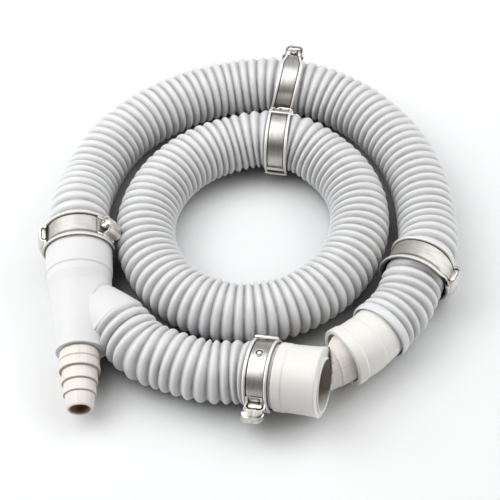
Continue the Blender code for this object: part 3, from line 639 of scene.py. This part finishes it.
def ribProfile(start, end, count, seed):
    # Radius over each rib: groove plus depth times the lift. Each rib's edge is shifted, and its
    # depth lessened, by a few hundredths.
    random = np.random.default_rng(seed)
    edges = np.linspace(start, end, count + 1)
    edges[1:-1] += random.normal(0.0, ribs["unevenEdge"], count - 1) * (end - start) / count
    worn = np.clip(random.normal(0.0, ribs["unevenDepth"], count), -ribs["mostWorn"], 0.0)
    lift = ribLift(ribs["steps"])
    stations = edges[:-1, None] + np.diff(edges)[:, None] * ribs["steps"]
    radii = groove + (ribs["depth"] * (1.0 + worn))[:, None] * lift
    ribbed = np.stack([stations.reshape(-1), radii.reshape(-1), np.tile(lift, count)], axis=1)
    return np.concatenate([ribbed, [[end, groove, 0.0]]])


def ribbedPiece(name, node, line, profile):  # a profile of station, radius and height over the groove
    return turnedPiece(name, line, profile[:, :2], hosePlastic, "hose_plastic", node, ribs["sides"],
                       profile[:, 2])


def makeHose(name, node, line, ribbed, boreEnd, before=(), after=()):
    # the ribs, with plain end rings before and after them, then the bore on the way back, whose height of 0
    # gives it the grooves' full dust and painted shade
    stations = [*np.arange(boreEnd, 0.0, -ribs["boreStep"]), 0.0]
    back = [(station, layout["boreRadius"], 0.0) for station in stations]
    return ribbedPiece(name, node, line, np.array([*before, *ribbed, *after, *back]))


def makeOuterHose():
    # a plain ring at its near end and a smooth lip at its far end
    length, start = outerLine["length"], ribs["plainEnd"]
    ribEnd = length - ribs["lipLength"]
    before = [(0.0, crest - 0.0003, 1.0), (0.0003, crest, 1.0), (0.0019, crest, 1.0),
              (0.0022, crest - 0.0006, 0.7)]
    # after the ribs the third number falls to 0 inside the lip, which takes the grooves' dust and painted
    # shade
    after = [(ribEnd + 0.00025, groove + 0.0010, 0.35), (ribEnd + 0.0007, lip - 0.00045, 0.8),
             (ribEnd + 0.0014, lip - 0.0001, 1.0), (ribEnd + 0.0024, lip, 1.0), (length - 0.0007, lip, 1.0),
             (length - 0.0002, lip - 0.0002, 1.0), (length, lip - 0.0006, 1.0),
             (length - 0.0001, lip - 0.0009, 0.8), (length - 0.0005, lip - 0.0011, 0.5),
             (length - 0.0035, lip - 0.0011, 0.0)]
    ribbed = ribProfile(start, ribEnd, round((ribEnd - start) / ribs["outerPitch"]), seed=5)
    return makeHose("outerHoseRibbed", "outer_hose", outerLine, ribbed, length - 0.0036, before, after)


def makeFrontHose():
    # a plain ring at its far end
    length = frontLine["length"]
    ribEnd = length - ribs["plainEnd"]
    after = [(ribEnd + 0.0003, crest - 0.0006, 0.7), (ribEnd + 0.0006, crest, 1.0),
             (length - 0.0003, crest, 1.0), (length, crest - 0.0003, 1.0)]
    ribbed = ribProfile(0.0, ribEnd, round(ribEnd / ribs["frontPitch"]), seed=7)
    makeHose("frontHoseRibbed", "front_hose", frontLine, ribbed, length, after=after)


ringHose = makeHose("innerHoseRibbed", "inner_hose", ringLine,
                    ribProfile(0.0, ringLine["length"], ribs["ringCount"], seed=3), ringLine["length"])
outerHose = makeOuterHose()
makeFrontHose()
print("hoses made")


# Fittings


def distanceTo(line, skin, points):
    # distance from a turned shape's skin, less than nothing inside: distance from its axis less
    # its radius there, or from its near end's rim
    offset = points - line["place"]
    station = offset @ line["way"]
    across = np.linalg.norm(offset - station[..., None] * line["way"], axis=-1)
    stations, radii = np.array(skin).T
    beyond = across - np.interp(station, stations, radii)
    before = np.hypot(stations[0] - station, np.clip(across - radii[0], 0.0, None))
    return np.where(station < stations[0], before, beyond)


def blendInto(line, skin):
    # Where two skins meet, each is raised so that they run into each other smoothly: by a quarter
    # of the blend's size, times the square of one less the distance from the other skin over it.
    def change(grid, profile):
        share = np.clip(1.0 - np.abs(distanceTo(line, skin, grid)) / wye["blend"], 0.0, 1.0)
        outside = (profile[:, 1] > tail + 0.0001)[:, None]
        return np.where(outside, share * share * wye["blend"] / 4.0, 0.0)
    return change


def makeWye():
    # main body: tail, socket ring, shoulder, taper; then the branch with its collar and moulded ribs
    socket, socketEnd, plug = wye["socketRadius"], wye["socketLength"], wye["plugRadius"]
    length, radius, collar, end = wye["length"], wye["endRadius"], wye["collarRadius"], wye["branchLength"]
    taper = wye["taper"] + [(length - 0.0016, radius - 0.0001)]
    outline = [(-joint, tail), (gap, tail), (gap, socket), (socketEnd, socket),
               (socketEnd + 0.0003, socket - 0.0004), (socketEnd + 0.0012, socket - 0.0006), *taper,
               (length - 0.0010, radius + 0.0001), (length, radius + 0.0001), (length, bore), (-joint, bore)]
    turnedPiece("wyeBodyMoulded", wyeLine, closedProfile(outline, 0.0003, 0.0010), whitePlastic,
                "white_plastic", "wye_body", sides=144, change=blendInto(branchLine, wye["branchCore"]))
    outline = [(0.0060, plug), *wye["branchCore"], (end - 0.0018, collar), (end - 0.0004, collar + 0.0001),
               (end, collar - 0.0005), (end, tail), (bootEnd, tail), (bootEnd + wye["branchTail"], tail),
               (bootEnd + wye["branchTail"], plug)]
    skin = [(socketEnd + 0.0004, socket - 0.0005), *taper]
    turnedPiece("wyeBranchMoulded", branchLine, closedProfile(outline, 0.0004, 0.0007), whitePlastic,
                "white_plastic", sides=144, change=blendInto(wyeLine, skin))
    # ribs that are moulded on the branch: the same shape as the hose's, one and a half of them
    u = np.concatenate([ribs["steps"], 1.0 + ribs["steps"], [2.0]])
    u = u[u >= 0.5]
    lift = ribLift(u % 1.0)
    stations = end + 0.00005 + (u - 0.5) * wye["bootPitch"]
    inside = [[stations[-1], tail + 0.0002, 0.0], [stations[0], tail + 0.0002, 0.0]]
    ring = np.stack([stations, groove + ribs["depth"] * lift, lift], axis=1)
    ribbedPiece("wyeBranchRibs", None, branchLine, np.concatenate([ring, inside]))


nozzle = {
    # length, first radius and last radius of each barbed step
    "steps": [(0.0050, 0.0094, 0.0096), (0.0052, 0.0094, 0.0098), (0.0063, 0.0083, 0.0086),
              (0.0061, 0.0075, 0.0078), (0.0069, 0.0070, 0.0060)],
    "plugLength": 0.0080,
    "plugRadius": 0.0086,
    "plugBore": 0.0060,
    "mouthRadius": 0.0048,
    "darkEdgeWidth": 0.0005,
}


def makeNozzle():
    # Barbed steps, each a little wider or narrower towards its own edge, and an open mouth. The
    # field falls to 0 in the corner under each barb's edge, which is darker, and in the bore, which is
    # painted brown shade.
    plug, hole = nozzle["plugRadius"], nozzle["mouthRadius"]
    station, edges = gap, []
    outline = [(-nozzle["plugLength"], plug), (station, plug)]
    for length, first, last in nozzle["steps"]:
        outline += [(station, first), (station + length * 0.55, (first + last) / 2.0 + 0.00005),
                    (station + length - 0.0003, last), (station + length, last - 0.0003)]
        station += length
        edges.append(station)
    mouth = edges.pop()
    outline += [(mouth, hole + 0.0002), (mouth - 0.0006, hole), (mouth - 0.0150, hole),
                (-nozzle["plugLength"], nozzle["plugBore"])]
    line = straightLine(wyeLine["place"] + wyeWay * wye["length"], wyeWay)
    profile = closedProfile(outline, 0.00035, 0.0006)
    near = np.abs(profile[:, :1] - edges - 0.0001) / nozzle["darkEdgeWidth"]
    field = np.clip(1.0 - np.clip(1.0 - near, 0.0, 1.0).sum(axis=1), 0.0, 1.0)
    turnedPiece("steppedNozzleMoulded", line, profile, beigePlastic, "beige_plastic", "stepped_nozzle",
                field=np.where(profile[:, 1] < hole + 0.0001, 0.0, field))
    # brown lining deep in the mouth: painted shade, brown, that darkens the bottom of the hole
    outline = [(mouth - 0.0145, 0.0001), (mouth - 0.0140, 0.00465), (mouth - 0.0011, 0.00472),
               (mouth - 0.0011, 0.0049), (mouth - 0.0148, 0.0049), (mouth - 0.0148, 0.0001)]
    turnedPiece("nozzleBoreShadeLining", line, np.array(outline), shadeBrownPlastic, "beige_plastic", sides=48)


cuff = {
    "ring": 0.0161,
    "ringEnd": 0.0049,
    "radius": 0.0159,
    "mouthRadius": 0.0165,
    "length": 0.0210,
    "hole": 0.0118,
    "drop": -0.0025,
    "shadeLength": 0.0060,
}


def makeCuff():
    # The bore lies low, so that the wall is thick above and thin below. The field is 1 outside and
    # falls to 0 deep in the bore, where painted shade turns the plastic brown and darker further in.
    ring, ringEnd, length, hole, drop = (cuff[key] for key in ("ring", "ringEnd", "length", "hole", "drop"))
    outline = [(-joint, tail, 0.0), (gap, tail, 0.0), (gap, ring, 0.0), (ringEnd, ring, 0.0),
               (ringEnd + 0.0003, cuff["radius"] - 0.0001, 0.0), (length * 0.7, 0.0160, 0.0),
               (length - 0.0030, 0.0162, 0.0), (length, cuff["mouthRadius"] + 0.0001, 0.0),
               (length, hole + 0.0013, drop), (length + 0.0008, hole + 0.0012, drop),
               (length + 0.0008, hole + 0.0001, drop), (length - 0.0004, hole, drop),
               (ringEnd - drop, hole, drop), (ringEnd, bore, 0.0), (-joint, bore, 0.0)]
    profile = closedProfile(outline, 0.0006, 0.0015)
    inside = (profile[:, 2] < -0.0020) & (profile[:, 0] < length - 0.0003) | (profile[:, 1] < tail)
    depth = np.clip((length - 0.0004 - profile[:, 0]) / cuff["shadeLength"], 0.0, 1.0)
    turnedPiece("openCuffMoulded", frontEndLine, profile, creamPlastic, "white_plastic", "open_cuff",
                sides=128, field=np.where(inside, 1.0 - depth, 1.0))


adapter = {"length": 0.0225, "collarStart": 0.0172, "collarRadius": 0.0147, "hole": 0.0122, "turn": -16.0}


def makeAdapter():
    # insert in the hose's lip, a slight bend, a fine step, then a thicker collar
    length, start, collar, hole = (adapter[k] for k in ("length", "collarStart", "collarRadius", "hole"))
    line = bentLine(outerEndLine["place"], outerEndLine["way"], joint, start, adapter["turn"], length - start)
    outline = [(-joint, tail), (-0.0030, tail), (-0.0030, 0.0136), (0.0079, 0.0137), (0.0082, 0.01405),
               (start, 0.0141), (start + 0.0004, collar), (length, collar), (length, hole),
               (length - 0.0050, hole), (length - 0.0053, bore), (-joint, bore)]
    profile = closedProfile(np.array(outline) + [joint, 0.0], 0.0005, 0.002)
    # painted shade: the field falls deeper in the collar's bore, which darkens it towards brown
    shade = np.clip((line["length"] - 0.0002 - profile[:, 0]) / cuff["shadeLength"], 0.0, 0.8)
    piece = turnedPiece("endAdapterMoulded", line, profile, creamPlastic, "white_plastic", "end_adapter",
                        sides=128, field=np.where(profile[:, 1] < hole + 0.0002, 1.0 - shade, 1.0))
    centres, forward, left, up = stationFrames(line, [line["length"]])
    return piece, straightLine(centres[0], forward[0])


spout = {
    "radius": 0.0115,
    "wall": 0.0018,
    "plug": 0.0050,
    "length": 0.0140,
    "bend": 0.002875,
    "turn": -6.0,
    "clearance": 0.0006,
    "slant": (-95.8, 58.4),
}


def makeSpout(adapterEnd):
    # short tube with a fine ring, bent a little and notched round the open cuff with a gap
    radius, wall, plug, bend = (spout[k] for k in ("radius", "wall", "plug", "bend"))
    line = bentLine(adapterEnd["place"], adapterEnd["way"], plug, bend, spout["turn"], spout["length"] - bend)
    outline = [(0.0, radius), (plug + 0.0052, radius), (plug + 0.0055, radius + 0.00018),
               (plug + 0.0063, radius + 0.00018), (plug + 0.0066, radius - 0.0001),
               (line["length"], radius - 0.0001), (line["length"], radius - wall), (0.0, radius - wall)]
    profile = closedProfile(outline, 0.0003, 0.0015)
    # the inner wall's field of 0.4 darkens it with painted shade
    piece = turnedPiece("outletSpoutMoulded", line, profile, beigePlastic, "beige_plastic", "outlet_spout",
                        sides=128, field=np.where(profile[:, 1] < radius - 0.0010, 0.4, 1.0))
    way, rim = frontEndLine["way"], cuff["mouthRadius"] + spout["clearance"]
    mouth = frontEndLine["place"] + way * cuff["length"]
    outline = [(-0.042, 0.0300), (-0.0008, 0.0300), (-0.0008, rim), (0.0003, rim), (0.0003, 0.0001),
               (-0.042, 0.0001)]
    notch = turnedPiece("spoutNotch", straightLine(mouth, way), np.array(outline), beigePlastic)
    # and cut clear of the whole rim, slantwise up to the front, by a slanted prism on its circle
    angle = fullTurn(96)[:, None]
    forward, left, up = axesFor(way)
    circle = mouth + (rim + 0.0001) * (up * np.sin(angle) - left * np.cos(angle))
    rows = np.stack([circle + headingVector(*spout["slant"]) * reach for reach in (-0.0015, 0.0300)])
    cutAway(piece, [notch, gridMesh("spoutClear", rows, beigePlastic)])
    return piece


makeWye()
makeNozzle()
makeCuff()
adapterPiece, adapterEnd = makeAdapter()
spoutPiece = makeSpout(adapterEnd)
print("fittings made")


# Clamps

clampLook = {
    "innerRadius": 0.0153,
    "thickness": 0.0007,
    "rim": 0.0011,
    "rimWidth": 0.0013,
    "fold": 0.00045,
    "dip": 0.00022,
    "step": 3.0,
    "wound": (-22.0, 384.0),  # where the strip starts and ends, in degrees from its housing's angle
    "rise": (326.0, 28.0),  # how far from its start it begins to rise, and over how many degrees
    "flareBy": (0.0011, 0.0013),  # along the hose and off it
    "flareReach": 0.0014,
    "flareFade": 0.75,  # how far under the hose, as a sine
    "sheet": 0.0007,
    "seat": clampRadius + 0.0001,
    "screwRadius": 0.0018,
    "shankHalf": 0.0042,
    "headLength": 0.0026,
    "tip": 0.0010,
    "pitch": 0.00045,
    "finish": bandSteel,
    "width": layout["narrowBand"],
    "head": 1,
    "lean": 0.0,
    "buckleLean": 0.0,
    "shift": 0.0,
    "flare": 0,
}
leftClampLine = straightLine(leftClampPlace, -wyeWay)
ringClampLine = straightLine(ringClampPlace, ringClampWay)
wide = layout["wideBand"]
# What is a clamp's own: where its housing sits, in degrees, which end the screw's head is at, how
# far the band or only its buckle leans, how far it is shifted, and which edge stands off the hose.
ownLook = {
    "left": {"line": leftClampLine, "angle": 29.0, "finish": dullShadedSteel, "width": wide, "flare": -1,
             "length": 0.0076, "half": 0.0037, "height": 0.0045, "headRadius": 0.0025, "shankHalf": 0.0030},
    "leftSecond": {"line": leftClampLine, "angle": 180.0, "width": wide, "length": 0.0150,
                   "half": 0.0036, "height": 0.0032, "headRadius": 0.0015, "screwRadius": 0.0011},
    "top": {"line": topClampLine, "angle": 150.0, "lean": 0.15, "shift": -0.0008,
            "length": 0.0082, "half": 0.0038, "height": 0.0046, "headRadius": 0.0023, "shankHalf": 0.0024},
    "inner": {"line": ringClampLine, "angle": 190.0, "lean": -0.04, "shift": 0.0006, "length": 0.0088,
              "half": 0.0037, "height": 0.0046, "headRadius": 0.0027},
    "right": {"line": rightClampLine, "angle": 186.0, "finish": dullShadedSteel, "width": wide, "flare": 1,
              "length": 0.0150, "half": 0.0042, "height": 0.0032, "headRadius": 0.0015,
              "screwRadius": 0.0011},
    "front": {"line": frontClampLine, "angle": -5.0, "head": -1, "buckleLean": 0.32, "length": 0.0088,
              "half": 0.0038, "height": 0.0048, "headRadius": 0.0026, "shankHalf": 0.0026},
}
spots = {key: {**clampLook, **own} for key, own in ownLook.items()}
for key in ("left", "top", "inner", "right", "front"):
    spots[key + "Buckle"] = {**spots[key], "lean": spots[key]["lean"] + spots[key]["buckleLean"]}
spots["frontCover"] = {**spots["frontBuckle"], "angle": -12.5, "length": 0.0052, "half": 0.0043,
                       "height": 0.0055}


def clampPoints(spot, along, radius, angle):
    # Point in a clamp's frame: along the hose, and radius at an angle from the right, upwards. The
    # clamp is shifted along the hose, and leans along it by its share of the height.
    forward, left, up = axesFor(spot["line"]["way"])
    turn = np.radians(angle)
    along = along + spot["shift"] + spot["lean"] * radius * np.sin(turn)
    return (spot["line"]["place"] + along[..., None] * forward - (radius * np.cos(turn))[..., None] * left
            + (radius * np.sin(turn))[..., None] * up)


def outwardAt(spot, angle):  # across the hose, at an angle from the right, upwards
    forward, left, up = axesFor(spot["line"]["way"])
    return up * math.sin(math.radians(angle)) - left * math.cos(math.radians(angle))


def sheetPiece(name, spot, node, along, radius, angle, finish=brightSteel, **more):
    return gridMesh(name, clampPoints(spot, along, radius, angle), finish, "stainless_steel", node, **more)


def makeBand(name, spot, node):
    # A strip with rolled rims wound once round the hose and on over its own start. Over a stretch
    # before that it rises by its thickness and draws in between its rims, by three squares less
    # two cubes of the share. One rim may stand off like a low collar, which fades out underneath.
    start, end = (spot["angle"] + turn for turn in spot["wound"])
    angle = np.arange(start, end + 0.01, spot["step"])
    share = np.clip((angle - start - spot["rise"][0]) / spot["rise"][1], 0.0, 1.0)
    share = share * share * (3.0 - 2.0 * share)
    fold, rimWidth, thickness = spot["fold"], spot["rimWidth"], spot["thickness"]
    inner = spot["innerRadius"] + share * (thickness + gap)
    half = spot["width"] / 2.0 - share * (rimWidth + gap)
    rim = spot["rim"] * (1.0 - 0.9 * share)
    outer = inner + thickness
    rimIn = half - rimWidth
    dip = spot["dip"] * (1.0 - share)
    # one half of the outline, from the edge to the middle: rolled rim, fold painted dark as its shade, strip;
    # the third number is low under the edge, painted as the shade under the band
    top = outer + rim
    points = [(half - 0.0003, inner, 0.2), (half + 0.0001, inner + 0.0006, 0.3), (half, top - 0.0003, 1.0),
              (half - 0.0004, top, 1.0), (rimIn + 0.0004, top, 1.0), (rimIn, top - 0.0004, 1.0),
              (rimIn - 0.00005, outer - dip, 0.0), (rimIn - fold, outer - dip, 0.0),
              (rimIn - fold - 0.0001, outer, 0.5), (rimIn - 3.0 * fold, outer + 0.00005, 0.5)]
    points += [(-along, radius, height) for along, radius, height in points[::-1]]
    along, radius, height = (np.stack([point[i] * np.ones(len(angle)) for point in points], axis=1)
                             for i in range(3))
    if spot["flare"]:
        edge = np.clip((along * spot["flare"] - half[:, None]) / spot["flareReach"] + 1.0, 0.0, 1.0)
        above = np.clip(np.sin(np.radians(angle)) / spot["flareFade"] + 1.0, 0.0, 1.0)
        edge *= (above * (1.0 - share))[:, None]
        radius = radius + spot["flareBy"][1] * edge
        along = along + spot["flare"] * spot["flareBy"][0] * edge
    # the height is made small beside the sizes while the corners are softened
    outline = softCorners(np.stack([along, radius, height * 0.01], axis=-1), 0.00035, 4)
    angles = np.repeat(angle[:, None], outline.shape[1], axis=1)
    flat = np.stack([np.radians(angles) * spot["innerRadius"], outline[..., 0]], axis=-1)
    return sheetPiece(name, spot, node, outline[..., 0], outline[..., 1], angles, spot["finish"], flat=flat,
                      sharp=70.0, height=outline[..., 2] * 100.0)


def makeHousing(name, spot, node=None):
    # Bent sheet over the screw: feet on the band's rims, upright sides and a round top, flared a
    # little at both ends, and wrapped round the hose so that its feet follow the band.
    sheet, half, height, seat = (spot[k] for k in ("sheet", "half", "height", "seat"))
    foot = spot["width"] / 2.0 - 0.0007
    corner = np.radians(np.linspace(0.0, 90.0, 6))
    turn = np.stack([np.cos(corner) - 1.0, np.sin(corner) - 1.0], axis=1)
    inside = np.array([half, height - sheet]) + half * 0.45 * turn
    outside = np.array([half + sheet, height]) + (half * 0.45 + sheet) * turn
    mirror = np.array([-1.0, 1.0])
    outline = np.array([
        (-foot, 0.0), (-half, 0.0), *(inside * mirror), *inside[::-1], (half, 0.0), (foot, 0.0),
        (foot, sheet), (half + sheet, sheet), *outside, *(outside * mirror)[::-1], (-half - sheet, sheet),
        (-foot, sheet),
    ])
    v = np.linspace(-1.0, 1.0, 17)
    flare = np.where(outline[:, 1:] > sheet * 1.5, 1.0 + 0.09 * np.abs(v)[:, None, None] ** 7, 1.0)
    rows = softCorners(outline * flare, 0.0002, 3)
    around = spot["angle"] + np.degrees(v * spot["length"] / 2.0 / seat)[:, None] * np.ones(rows.shape[1])
    flat = np.stack([np.radians(around) * seat, rows[..., 0]], axis=-1)
    return sheetPiece(name, spot, node, rows[..., 0], seat + rows[..., 1], around, flat=flat, sharp=50.0)


def makeScrew(name, spot, node):
    # threaded shank, washer face and cheese head turned round the screw's own axis, cross recess
    head, shank, half = spot["headRadius"], spot["screwRadius"], spot["shankHalf"]
    axisRadius = clampRadius + 2.0 * gap + shank
    lean = spot["lean"] * axisRadius * math.sin(math.radians(spot["angle"]))
    middle = spot["line"]["place"] + outwardAt(spot, spot["angle"]) * axisRadius
    middle = middle + spot["line"]["way"] * (spot["shift"] + lean)
    base = straightLine(middle, outwardAt(spot, spot["angle"] + 90.0) * spot["head"])
    # the head clears the band's rims: it starts where the round of the clamp falls below its edge
    clear = axisRadius - head - gap
    headStart = max(math.sqrt(max(clampRadius**2 - clear**2, 0.0)), half + gap)
    headEnd, tip = headStart + spot["headLength"], -half - spot["tip"]
    threads = np.arange(tip + 0.0006, headStart - 0.0004, spot["pitch"])
    outline = [(tip, 0.00005), (tip, shank * 0.62), (tip + 0.0005, shank * 0.92)]
    outline += [(station, shank if i % 2 else shank - 0.00028) for i, station in enumerate(threads)]
    outline += [(headStart, shank), (headStart, head * 0.99), (headStart + 0.0005, head),
                (headEnd - 0.0007, head), (headEnd - 0.0002, head - 0.00035), (headEnd, head - 0.0008),
                (headEnd, 0.00005)]
    screw = turnedPiece(name, base, np.array(outline), brightSteel, "stainless_steel", node, sides=36,
                        sharp=45.0)
    arm, slot, depth = head * 0.68, 0.00045, 0.0011
    quarter = np.array([(slot, slot), (arm, slot), (arm, -slot)])
    quarterTurn = np.array([(0.0, -1.0), (1.0, 0.0)])
    cross = np.concatenate([quarter @ np.linalg.matrix_power(quarterTurn, i) for i in range(4)])
    forward, left, up = axesFor(base["way"])
    rows = [middle + forward * (headEnd + lift) + cross[:, :1] * left * size + cross[:, 1:] * up * size
            for lift, size in ((-depth, 0.8), (0.0005, 1.05))]
    cutAway(screw, [gridMesh("screwCross", np.stack(rows), brightSteel)])
    return screw


def makeBar(name, spot, angle, radius, over, size):
    # Rolled bar across a band, and over its edges: a round section, flattened to two thirds,
    # carried along the hose, with rounded ends.
    v = np.sin(np.linspace(-0.5, 0.5, 33) * np.pi)[:, None]
    turn = fullTurn(16)
    section = np.sqrt(np.clip(1.0 - np.abs(v) ** 6, 0.0, 1.0)) * size + 0.00002
    along = v * (spot["width"] / 2.0 + over) * np.ones(len(turn))
    around = angle + np.degrees(section * np.cos(turn) / radius)
    return sheetPiece(name, spot, None, along, radius + 0.67 * section * np.sin(turn), around)


def makeTongue(name, spot, side, low, high):
    # bent sheet that fills a housing's open end down to a slot: a rounded plate across the arch
    half, sheet, seat = spot["half"] * 0.84, 0.0006, spot["seat"]
    outline = softCorners([(-half, low), (half, low), (half, high), (-half, high)], 0.0011, 6)
    middle = outline.mean(axis=0)
    depth, size = np.array([(-0.9, 0.94), (-0.75, 1.0), (-0.25, 1.0), (0.0, 0.92)]).T[:, :, None]
    along, rise = (middle[i] + (outline[:, i] - middle[i]) * size for i in (0, 1))
    end = side * spot["length"] / 2.0 / seat
    around = spot["angle"] + np.degrees(end + side * depth * sheet / seat) * np.ones(len(outline))
    return sheetPiece(name, spot, None, along, seat + rise, around, sharp=60.0)


def makeRivet(name, spot, angle, size, depth, sunk=0.0006):
    # pressed dimple with a rim: a low dome, a fold round it, painted dark as its shade, and a raised lip
    outward, radius = outwardAt(spot, angle), spot["innerRadius"] + spot["thickness"] - sunk
    base = straightLine(spot["line"]["place"] + outward * radius, outward)
    outline = [(0.0, 0.00005), (0.0, size), (sunk + depth * 0.7, size), (sunk + depth, size * 0.86),
               (sunk + depth * 0.4, size * 0.66), (sunk + depth * 0.9, size * 0.3), (sunk + depth, 0.00005)]
    profile = closedProfile(outline, 0.0003, 0.0004)
    fold = (profile[:, 1] > size * 0.45) & (profile[:, 1] < size * 0.8) & (profile[:, 0] > 0.0005)
    return turnedPiece(name, base, profile, bandSteel, "stainless_steel", sides=40,
                       field=np.where(fold, 0.0, 0.7))


clampPieces = {}
for key in ("left", "top", "inner", "right", "front"):
    name, node, buckle = key + "Clamp", key + "_clamp_", spots[key + "Buckle"]
    clampPieces[key] = [makeBand(name + "Band", spots[key], node + "band"),
                        makeHousing(name + "Housing", buckle, node + "housing"),
                        makeScrew(name + "Screw", buckle, node + "screw")]
# What else the clamps show. A tongue has the end that it closes, low and high; a bar its angle,
# radius, reach over the band's edges and half thickness; the rivet its angle, radius and height.
details = [
    ("leftSecond", makeHousing, "leftClampSecondHousing", "left_clamp_second_housing"),
    ("leftSecond", makeScrew, "leftClampSecondScrew", "left_clamp_second_screw"),
    ("leftSecond", makeTongue, "leftClampSecondTongue", -1, 0.0002, 0.0022),
    ("left", makeBar, "leftClampFootRoll", 14.5, 0.0177, -0.0010, 0.0009),
    ("top", makeTongue, "topClampTongue", -1, 0.0022, 0.0038),
    ("right", makeTongue, "rightClampTongue", -1, 0.0, 0.0024),
    ("inner", makeBar, "innerClampTopRoll", 107.0, 0.0170, 0.0002, 0.0010),
    ("inner", makeBar, "innerClampLowRoll", -14.0, 0.0170, -0.0012, 0.0008),
    ("inner", makeBar, "innerClampFootRoll", -33.0, 0.0176, 0.0003, 0.0010),
    ("frontBuckle", makeTongue, "frontClampTongue", 1, 0.0004, 0.0033),
    ("frontCover", makeHousing, "frontClampCover"),
    ("front", makeBar, "frontClampTopRoll", 136.0, 0.0178, 0.0003, 0.0014),
    ("frontBuckle", makeBar, "frontClampFootRoll", -19.0, 0.0204, -0.0006, 0.0013),
    ("front", makeRivet, "frontClampRivet", 95.0, 0.0021, 0.0006),
]
for key, make, name, *sizes in details:
    clampPieces.setdefault(key, []).append(make(name, spots[key], *sizes))
print("clamps made")

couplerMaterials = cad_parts["ring_coupler"].data.materials
couplerMaterials.clear()
couplerMaterials.append(whitePlastic)


# Floor, light and background

studio = {
    "floorColour": (0.815, 0.82, 0.825),
    "contactShadeColour": (0.12, 0.115, 0.11),
    "contactReach": 0.035,
    "contactGain": 2.2,
    "floorHalf": 3.0,
    "floorHeight": -0.0001,
    "whiteFrom": 0.35,
    "whiteWidth": 0.35,
    "lampDistance": 1.1,
    "lamps": [  # name, bearing, height above the floor in degrees, size, power
        ("leftLow", 180.0, 30.0, 1.20, 8.2),
        ("leftHigh", 180.0, 60.0, 1.00, 5.3),
        ("backLeft", 135.0, 60.0, 0.80, 2.6),
        ("backRight", 45.0, 60.0, 0.80, 3.6),
        ("rightLow", 0.0, 30.0, 1.20, 8.0),
    ],
    "skyLight": 0.02,
    "mirrorSide": 0.42,
    "mirrorFront": 0.06,
    "frontFrom": 0.15,
    "frontGain": 4.0,
    "overheadWay": (-0.21, 0.98),  # its parts to the back and upwards
    "overheadFrom": 0.84,
    "overheadGain": 12.0,
}


def addFloor():
    material, graph, shader = newMaterial("paleFloor")
    # painted shade on the floor: darker in the gaps that the hoses close in, a gain times how open it is,
    # between two colours
    openness = graph.add("AmbientOcclusion", {"Distance": studio["contactReach"]}, samples=8).outputs["AO"]
    openness = graph.times(openness, studio["contactGain"], clamp=True)
    colour = graph.mix(openness, studio["contactShadeColour"], studio["floorColour"])
    graph.join(shader, {"Base Color": colour, "Roughness": 0.75, "Specular IOR Level": 0.2})
    # far from the hoses the camera sees it white: the distance past a start, over a width
    place = graph.add("TexCoord", {}).outputs["Object"]
    far = graph.add("VectorMath", {0: place}, operation="LENGTH").outputs["Value"]
    share = graph.ramp(far, studio["whiteFrom"], 1.0 / studio["whiteWidth"])
    share = graph.times(share, graph.add("LightPath", {}).outputs["Is Camera Ray"])
    white = graph.add("Emission", {}).outputs[0]
    seen = graph.add("MixShader", {0: share, 1: shader.outputs[0], 2: white}).outputs[0]
    graph.join(graph.tree.nodes["Material Output"], {"Surface": seen})
    mesh = bpy.data.meshes.new("paleFloor")
    half, height = studio["floorHalf"], studio["floorHeight"]
    mesh.from_pydata([(x * half, y * half, height) for x, y in ((-1, -1), (1, -1), (1, 1), (-1, 1))],
                     [], [(0, 1, 2, 3)])
    mesh.materials.append(material)
    newObject("paleFloor", mesh)


def addLamp(name, bearing, height, size, power):
    data = bpy.data.lights.new(name, "AREA")
    data.shape = "DISK"
    data.size = size
    data.energy = power
    back = headingVector(bearing, height)
    placeFacing(newObject(name, data), back * studio["lampDistance"], back)


def addSky():
    # a weak even light, white to the camera; steel mirrors a grey room that is brighter overhead
    world = bpy.data.worlds.new("paleStudio")
    bpy.context.scene.world = world
    world.use_nodes = True
    graph = Graph(world.node_tree)
    way = graph.add("SeparateXYZ", {0: graph.add("TexCoord", {}).outputs["Generated"]}).outputs
    # front share: how far a direction points to the front, past a start, times a gain; overhead
    # share: the same for its part along the overhead light's middle
    front = graph.ramp(graph.times(way["Y"], -1.0), studio["frontFrom"], studio["frontGain"])
    side, (back, up) = studio["mirrorSide"], studio["overheadWay"]
    around = graph.plus(graph.times(front, studio["mirrorFront"] - side), side)
    over = graph.plus(graph.times(way["Y"], back), graph.times(way["Z"], up))
    over = graph.ramp(over, studio["overheadFrom"], studio["overheadGain"])
    mirrored = graph.math("MAXIMUM", around, over)
    rays = graph.add("LightPath", {}).outputs
    level = graph.math("MAXIMUM", graph.times(mirrored, rays["Is Glossy Ray"]), studio["skyLight"])
    level = graph.math("MAXIMUM", level, rays["Is Camera Ray"])
    graph.join(world.node_tree.nodes["Background"], {"Strength": level, "Color": (1.0, 1.0, 1.0)})


addFloor()
for lamp in studio["lamps"]:
    addLamp(*lamp)
addSky()
bpy.context.scene.view_settings.view_transform = "Standard"
print("floor and light set")
